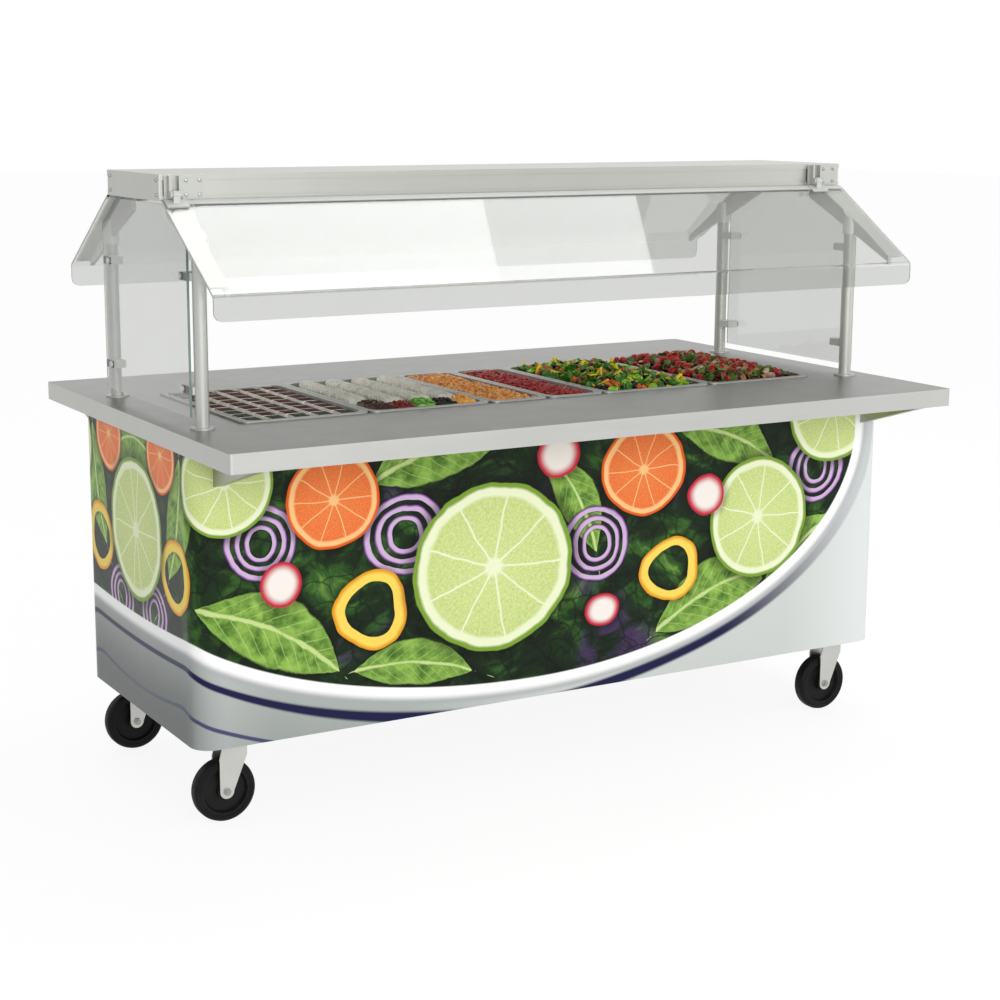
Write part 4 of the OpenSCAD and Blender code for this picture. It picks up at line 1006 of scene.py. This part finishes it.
def makeSlices(values):
    # four long rows of leaning pale slices behind five small heaps of chopped garnish
    dice = random.Random(values["seed"])
    flesh = foodLook("paleSlice", values["flesh"], 40, 500, 0.4, 0.3, 0.0003, 0.12)
    rim = foodLook("sliceRim", values["rim"], 40, 500, 0.5, 0.1, 0.0003, 0.15)
    bed, inside = foodBed("food_2_white_rows", panFill["level"], 0.0,
                          foodLook("sliceBed", values["bed"], 30, 400, 0.5, 0.1))
    middle = inside[0]
    spanX, spanY = [2 * (half - panFill["margin"]) for half in inside[1:3]]
    master = roundMaster("sliceMaster", values["radius"], values["thick"], 16, values["hollow"],
                         flesh, rim)
    slip = values["slip"]
    tilt = math.radians(values["tilt"])
    lift = panFill["level"] + values["radius"] * math.sin(tilt) + 0.001
    reach = values["radius"] * math.cos(tilt)
    pitchX = (spanX + values["rowGap"]) / values["rows"]
    twins = []
    for i in range(values["rows"]):
        front = values["itemDepth" if i else "firstDepth"] + values["rowGap"]
        for j in range(int((spanY - front - 2 * reach) / values["step"]) + 1):
            place = (middle - spanX / 2 + (pitchX - values["rowGap"]) / 2 + i * pitchX
                     + dice.uniform(-slip, slip),
                     -spanY / 2 + front + reach + j * values["step"], lift)
            turn = (tilt + dice.uniform(-0.05, 0.05), dice.uniform(-0.06, 0.06),
                    dice.uniform(-0.08, 0.08))
            twins.append(copyOf(master, place, turn, dice.uniform(0.96, 1.0)))
    pitchItem = (spanX + values["itemGap"]) / values["items"]
    wide = pitchItem - values["itemGap"]
    mounds = []
    for depth in (values["firstDepth"], values["itemDepth"]):
        mound = addShape("garnishMaster", [flesh], bpy.ops.mesh.primitive_cube_add, size=1,
                         scale=(wide, depth, values["itemHeight"]))
        soften(mound, lambda edge: edge.verts[0].co.z + edge.verts[1].co.z > -0.001,
               values["itemHeight"] * 0.42, 3)
        mounds.append(finishMaster(mound, 60))
    bits = [cubeMaster("bitCube", (0.0085, 0.0085, 0.0075), 0.0012, flesh),
            beanMaster("bitBean", 0.012, 0.0075, flesh),
            leafMaster("bitLeaf", 0.018, 0.012, 0.004, flesh),
            ringMaster("bitRing", 0.0052, 0.0017, flesh),
            stripMaster("bitStrip", 0.004, 0.003, 3, flesh)]
    base = panFill["level"] - 0.0006
    for k, colours in enumerate(values["itemTones"]):
        look = foodLook("garnish%d" % (k + 1), colours, 120, 700, 0.35, 0.35, 0.0004)
        depth = values["itemDepth" if k else "firstDepth"]
        x = middle - spanX / 2 + wide / 2 + k * pitchItem
        y = -spanY / 2 + depth / 2
        twins.append(copyOf(mounds[min(k, 1)], (x, y, base + values["itemHeight"] / 2),
                            looks=[look]))
        across = int(wide / values["bitPitch"])
        deep = int(depth / values["bitPitch"])
        for i in range(across):
            for j in range(deep):
                u = (i + 0.5) / across * 2 - 1 + dice.uniform(-0.12, 0.12)
                v = (j + 0.5) / deep * 2 - 1 + dice.uniform(-0.12, 0.12)
                fall = max(abs(u), abs(v)) ** 6 * values["itemHeight"] * 0.45
                place = (x + u * (wide / 2 - 0.004), y + v * (depth / 2 - 0.004),
                         base + values["itemHeight"] - fall + 0.0012)
                turn = anyTurn(dice, 0.7 if k in (2, 3) else math.pi)
                twins.append(copyOf(bits[k], place, turn, dice.uniform(0.85, 1.05), [look]))
    return gather("slicesInRows", bed, twins, [master] + mounds + bits)


diceFood = {
    "crown": 0.009, "pitch": (0.0122, 0.0122), "size": (0.0125, 0.0118, 0.0108), "seed": 13,
    "tones": [(178, 104, 44), (208, 138, 62), (224, 166, 94)],
}
beanFood = {
    "crown": 0.0105, "pitch": (0.0112, 0.0100), "length": 0.0165, "width": 0.0095, "seed": 14,
    "tones": [(104, 10, 12), (150, 22, 18), (172, 50, 32)],
}


def makeScatter(name, node, values, master, look, tilt=math.pi):
    # a pan heaped with one kind of small cut piece, in two loose layers
    dice = random.Random(values["seed"])
    bed, inside = foodBed(node, panFill["heapEdge"] - panFill["heapBase"], values["crown"], look)
    twins = []
    for layer in range(2):
        for x, y in loosely(inside, values["pitch"], 0.0085, dice):
            if layer and dice.random() < 0.45:
                continue
            height = moundAt(x, y, inside, values["crown"]) + layer * 0.0045
            place = (x, y, panFill["heapEdge"] - 0.0032 + height + dice.uniform(-0.0012, 0.0012))
            twins.append(copyOf(master, place, anyTurn(dice, tilt), dice.uniform(0.86, 1.08)))
    return gather(name, bed, twins, [master])


greenFood = {
    "crown": 0.022, "seed": 15, "leafPitch": 0.030, "bitPitch": 0.0225, "bed": "leafDark",
    "tones": {
        "leafDark": [(38, 78, 26), (64, 112, 38), (98, 144, 50)],
        "leafLight": [(104, 156, 36), (140, 190, 44), (184, 208, 62)],
        "yellow": [(206, 178, 26), (228, 200, 48)],
        "orange": [(184, 70, 30), (206, 116, 48)],
        "black": [(24, 18, 30), (48, 30, 42)],
        "brown": [(104, 40, 34), (136, 66, 48)],
        "pale": [(196, 196, 170), (214, 212, 192)],
    },
    "leaves": {
        # maker, its sizes, its looks
        "greenLeafA": (leafMaster, (0.048, 0.032, 0.005), "leafDark"),
        "greenLeafB": (leafMaster, (0.044, 0.030, 0.005), "leafLight"),
        "greenLeafC": (leafMaster, (0.040, 0.030, 0.008), "leafDark"),
    },
    "bits": {
        "carrotCube": (cubeMaster, ((0.014, 0.013, 0.011), 0.0013), "orange"),
        "yellowStrip": (stripMaster, (0.0085, 0.0050, 4), "yellow"),
        "oliveRing": (ringMaster, (0.0080, 0.0036), "black"),
        "cucumberSlice": (roundMaster, (0.0145, 0.0036, 12, 0.0006), "leafLight", "leafDark"),
        "brownBean": (beanMaster, (0.018, 0.011), "brown"),
        "paleStrip": (stripMaster, (0.0060, 0.0040, 4), "pale"),
        "smallLeaf": (leafMaster, (0.032, 0.024, 0.006), "leafDark"),
    },
    "shares": [16, 16, 12, 18, 10, 6, 22],
}
redFood = {
    "crown": 0.026, "seed": 16, "leafPitch": 0.034, "bitPitch": 0.0225, "bed": "chestnut",
    "tones": {
        "leafDark": [(44, 74, 28), (76, 108, 40), (116, 138, 62)],
        "skin": [(126, 12, 12), (170, 26, 20), (150, 18, 22)],
        "flesh": [(196, 84, 62), (214, 112, 84)],
        "crouton": [(120, 76, 42), (160, 112, 66), (186, 146, 98)],
        "pink": [(150, 30, 50), (176, 48, 66)],
        "cream": [(196, 172, 140), (214, 196, 168)],
        "chestnut": [(78, 36, 26), (104, 52, 36)],
    },
    "leaves": {
        "redLeafA": (leafMaster, (0.044, 0.030, 0.005), "leafDark"),
        "redLeafB": (leafMaster, (0.040, 0.028, 0.007), "chestnut"),
    },
    "bits": {
        "tomatoHalf": (halfMaster, (0.0130,), "skin", "flesh"),
        "crouton": (cubeMaster, ((0.015, 0.014, 0.013), 0.0015), "crouton"),
        "radishSlice": (roundMaster, (0.0125, 0.0030, 12, 0.0004), "cream", "pink"),
        "darkBean": (beanMaster, (0.018, 0.011), "chestnut"),
        "beetCube": (cubeMaster, ((0.013, 0.013, 0.012), 0.0013), "pink"),
        "herbLeaf": (leafMaster, (0.030, 0.022, 0.006), "leafDark"),
    },
    "shares": [26, 18, 10, 14, 12, 20],
}


def makeHeap(name, node, prefix, values):
    # mixed salad: crinkled leaves first, then cut pieces lying on and between them
    dice = random.Random(values["seed"])
    looks = {key: foodLook(prefix + key.title(), tones, 70, 500)
             for key, tones in values["tones"].items()}
    leaves, bits = [[maker(title, *sizes, *[looks[key] for key in keys])
                     for title, (maker, sizes, *keys) in values[group].items()]
                    for group in ("leaves", "bits")]
    edge, crown = panFill["heapEdge"], values["crown"]
    bed, inside = foodBed(node, edge - panFill["heapBase"], crown, looks[values["bed"]])
    twins = []
    for x, y in loosely(inside, [values["leafPitch"]] * 2, 0.020, dice):
        height = edge - 0.001 + moundAt(x, y, inside, crown) + dice.uniform(0.0, 0.003)
        turn = (dice.uniform(-0.5, 0.5), dice.uniform(-0.5, 0.5), dice.uniform(0, 2 * math.pi))
        twins.append(copyOf(dice.choice(leaves), (x, y, height), turn, dice.uniform(0.65, 0.85)))
    for x, y in loosely(inside, [values["bitPitch"]] * 2, 0.0125, dice):
        master = dice.choices(bits, values["shares"])[0]
        height = edge + 0.003 + moundAt(x, y, inside, crown) + dice.uniform(0.0, 0.005)
        twins.append(copyOf(master, (x, y, height), anyTurn(dice, 0.9), dice.uniform(0.8, 1.05)))
    return gather(name, bed, twins, leaves + bits)


orangeLook = foodLook("orangeDice", diceFood["tones"], 90, 500, 0.38, 0.3)
redLook = foodLook("redBeans", beanFood["tones"], 90, 400, 0.3, 0.45, 0.0002)
fillings = [
    ("lift_out_pan_1", "food_1_dark_squares", "food_dark", makeSquares(squareFood)),
    ("lift_out_pan_2", "food_2_white_rows", "food_white", makeSlices(sliceFood)),
    ("lift_out_pan_3", "food_3_orange_dice", "food_orange",
     makeScatter("orangeDicePan", "food_3_orange_dice", diceFood,
                 cubeMaster("diceMaster", diceFood["size"], 0.0011, orangeLook), orangeLook)),
    ("lift_out_pan_4", "food_4_red_beans", "food_red",
     makeScatter("redBeansPan", "food_4_red_beans", beanFood,
                 beanMaster("beanMaster", beanFood["length"], beanFood["width"], redLook),
                 redLook, 0.8)),
    ("lift_out_pan_5", "food_5_green_salad", "food_green",
     makeHeap("greenSalad", "food_5_green_salad", "green", greenFood)),
    ("lift_out_pan_6", "food_6_red_salad", "food_mixed",
     makeHeap("redSalad", "food_6_red_salad", "red", redFood)),
]
for body, node, slot, piece in fillings:
    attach(piece, body)
    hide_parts(node)
    print("filled", body, len(piece.data.polygons), "faces")


screwShape = {
    "tone": (172, 173, 168), "roughness": 0.34,
    "head": 0.0046, "rise": 0.0026, "recess": 0.0015, "sunk": 0.0003,
    "plateIn": 0.049, "plateThick": 0.003,
    "onPlate": [(-0.036, 0.016), (-0.036, -0.016), (-0.004, 0.016), (-0.004, -0.016)],
    "capIn": (0.020, 0.013),
}


def screwMaster(values, look):
    # a pan head: rounded at its rim, with a recess for the key
    rise = values["rise"]
    piece = addShape("screwMaster", [look], bpy.ops.mesh.primitive_cylinder_add, vertices=12,
                     radius=values["head"], depth=rise)
    soften(piece, lambda edge: all(v.co.z > 0 for v in edge.verts), rise * 0.42, 2)
    pick(piece, "faces", lambda face: face.normal.z > 0.99
         and face.calc_center_median().z > rise * 0.45)
    bpy.ops.mesh.inset(thickness=values["head"] * 0.30)
    bpy.ops.mesh.extrude_region_move(TRANSFORM_OT_translate={"value": (0, 0, -values["recess"])})
    return finishMaster(piece, 30)


def screwPlaces(values):
    # place and turn of each screw in the bracket plates and in the beam's end caps
    beamLow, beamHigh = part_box("top_beam")
    capLow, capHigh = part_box("beam_end_caps")
    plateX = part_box("hinge_brackets")[1][0] - values["plateIn"]
    middle = (beamLow[2] + beamHigh[2]) / 2
    out = values["rise"] / 2 - values["sunk"]
    for side in (1, -1):
        face = side * (beamHigh[1] + values["plateThick"] + out)
        for x in (plateX, -plateX):
            for dx, dz in values["onPlate"]:
                yield (side * (x + dx), face, middle + dz), (-side * math.pi / 2, 0, 0)
        for y in (capLow[1] + values["capIn"][0], capHigh[1] - values["capIn"][0]):
            for z in (capLow[2] + values["capIn"][1], capHigh[2] - values["capIn"][1]):
                yield (side * (capHigh[0] + out), y, z), (0, side * math.pi / 2, 0)


def makeScrews(values):
    master = screwMaster(values, cast("screwZinc", values["tone"], values["roughness"]))
    twins = [copyOf(master, place, turn) for place, turn in screwPlaces(values)]
    return gather("canopyScrews", twins[0], twins[1:], [master])


screws = makeScrews(screwShape)
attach(screws, "cart")
print("screws set:", len(screws.data.polygons), "faces")


bpy.context.view_layer.update()
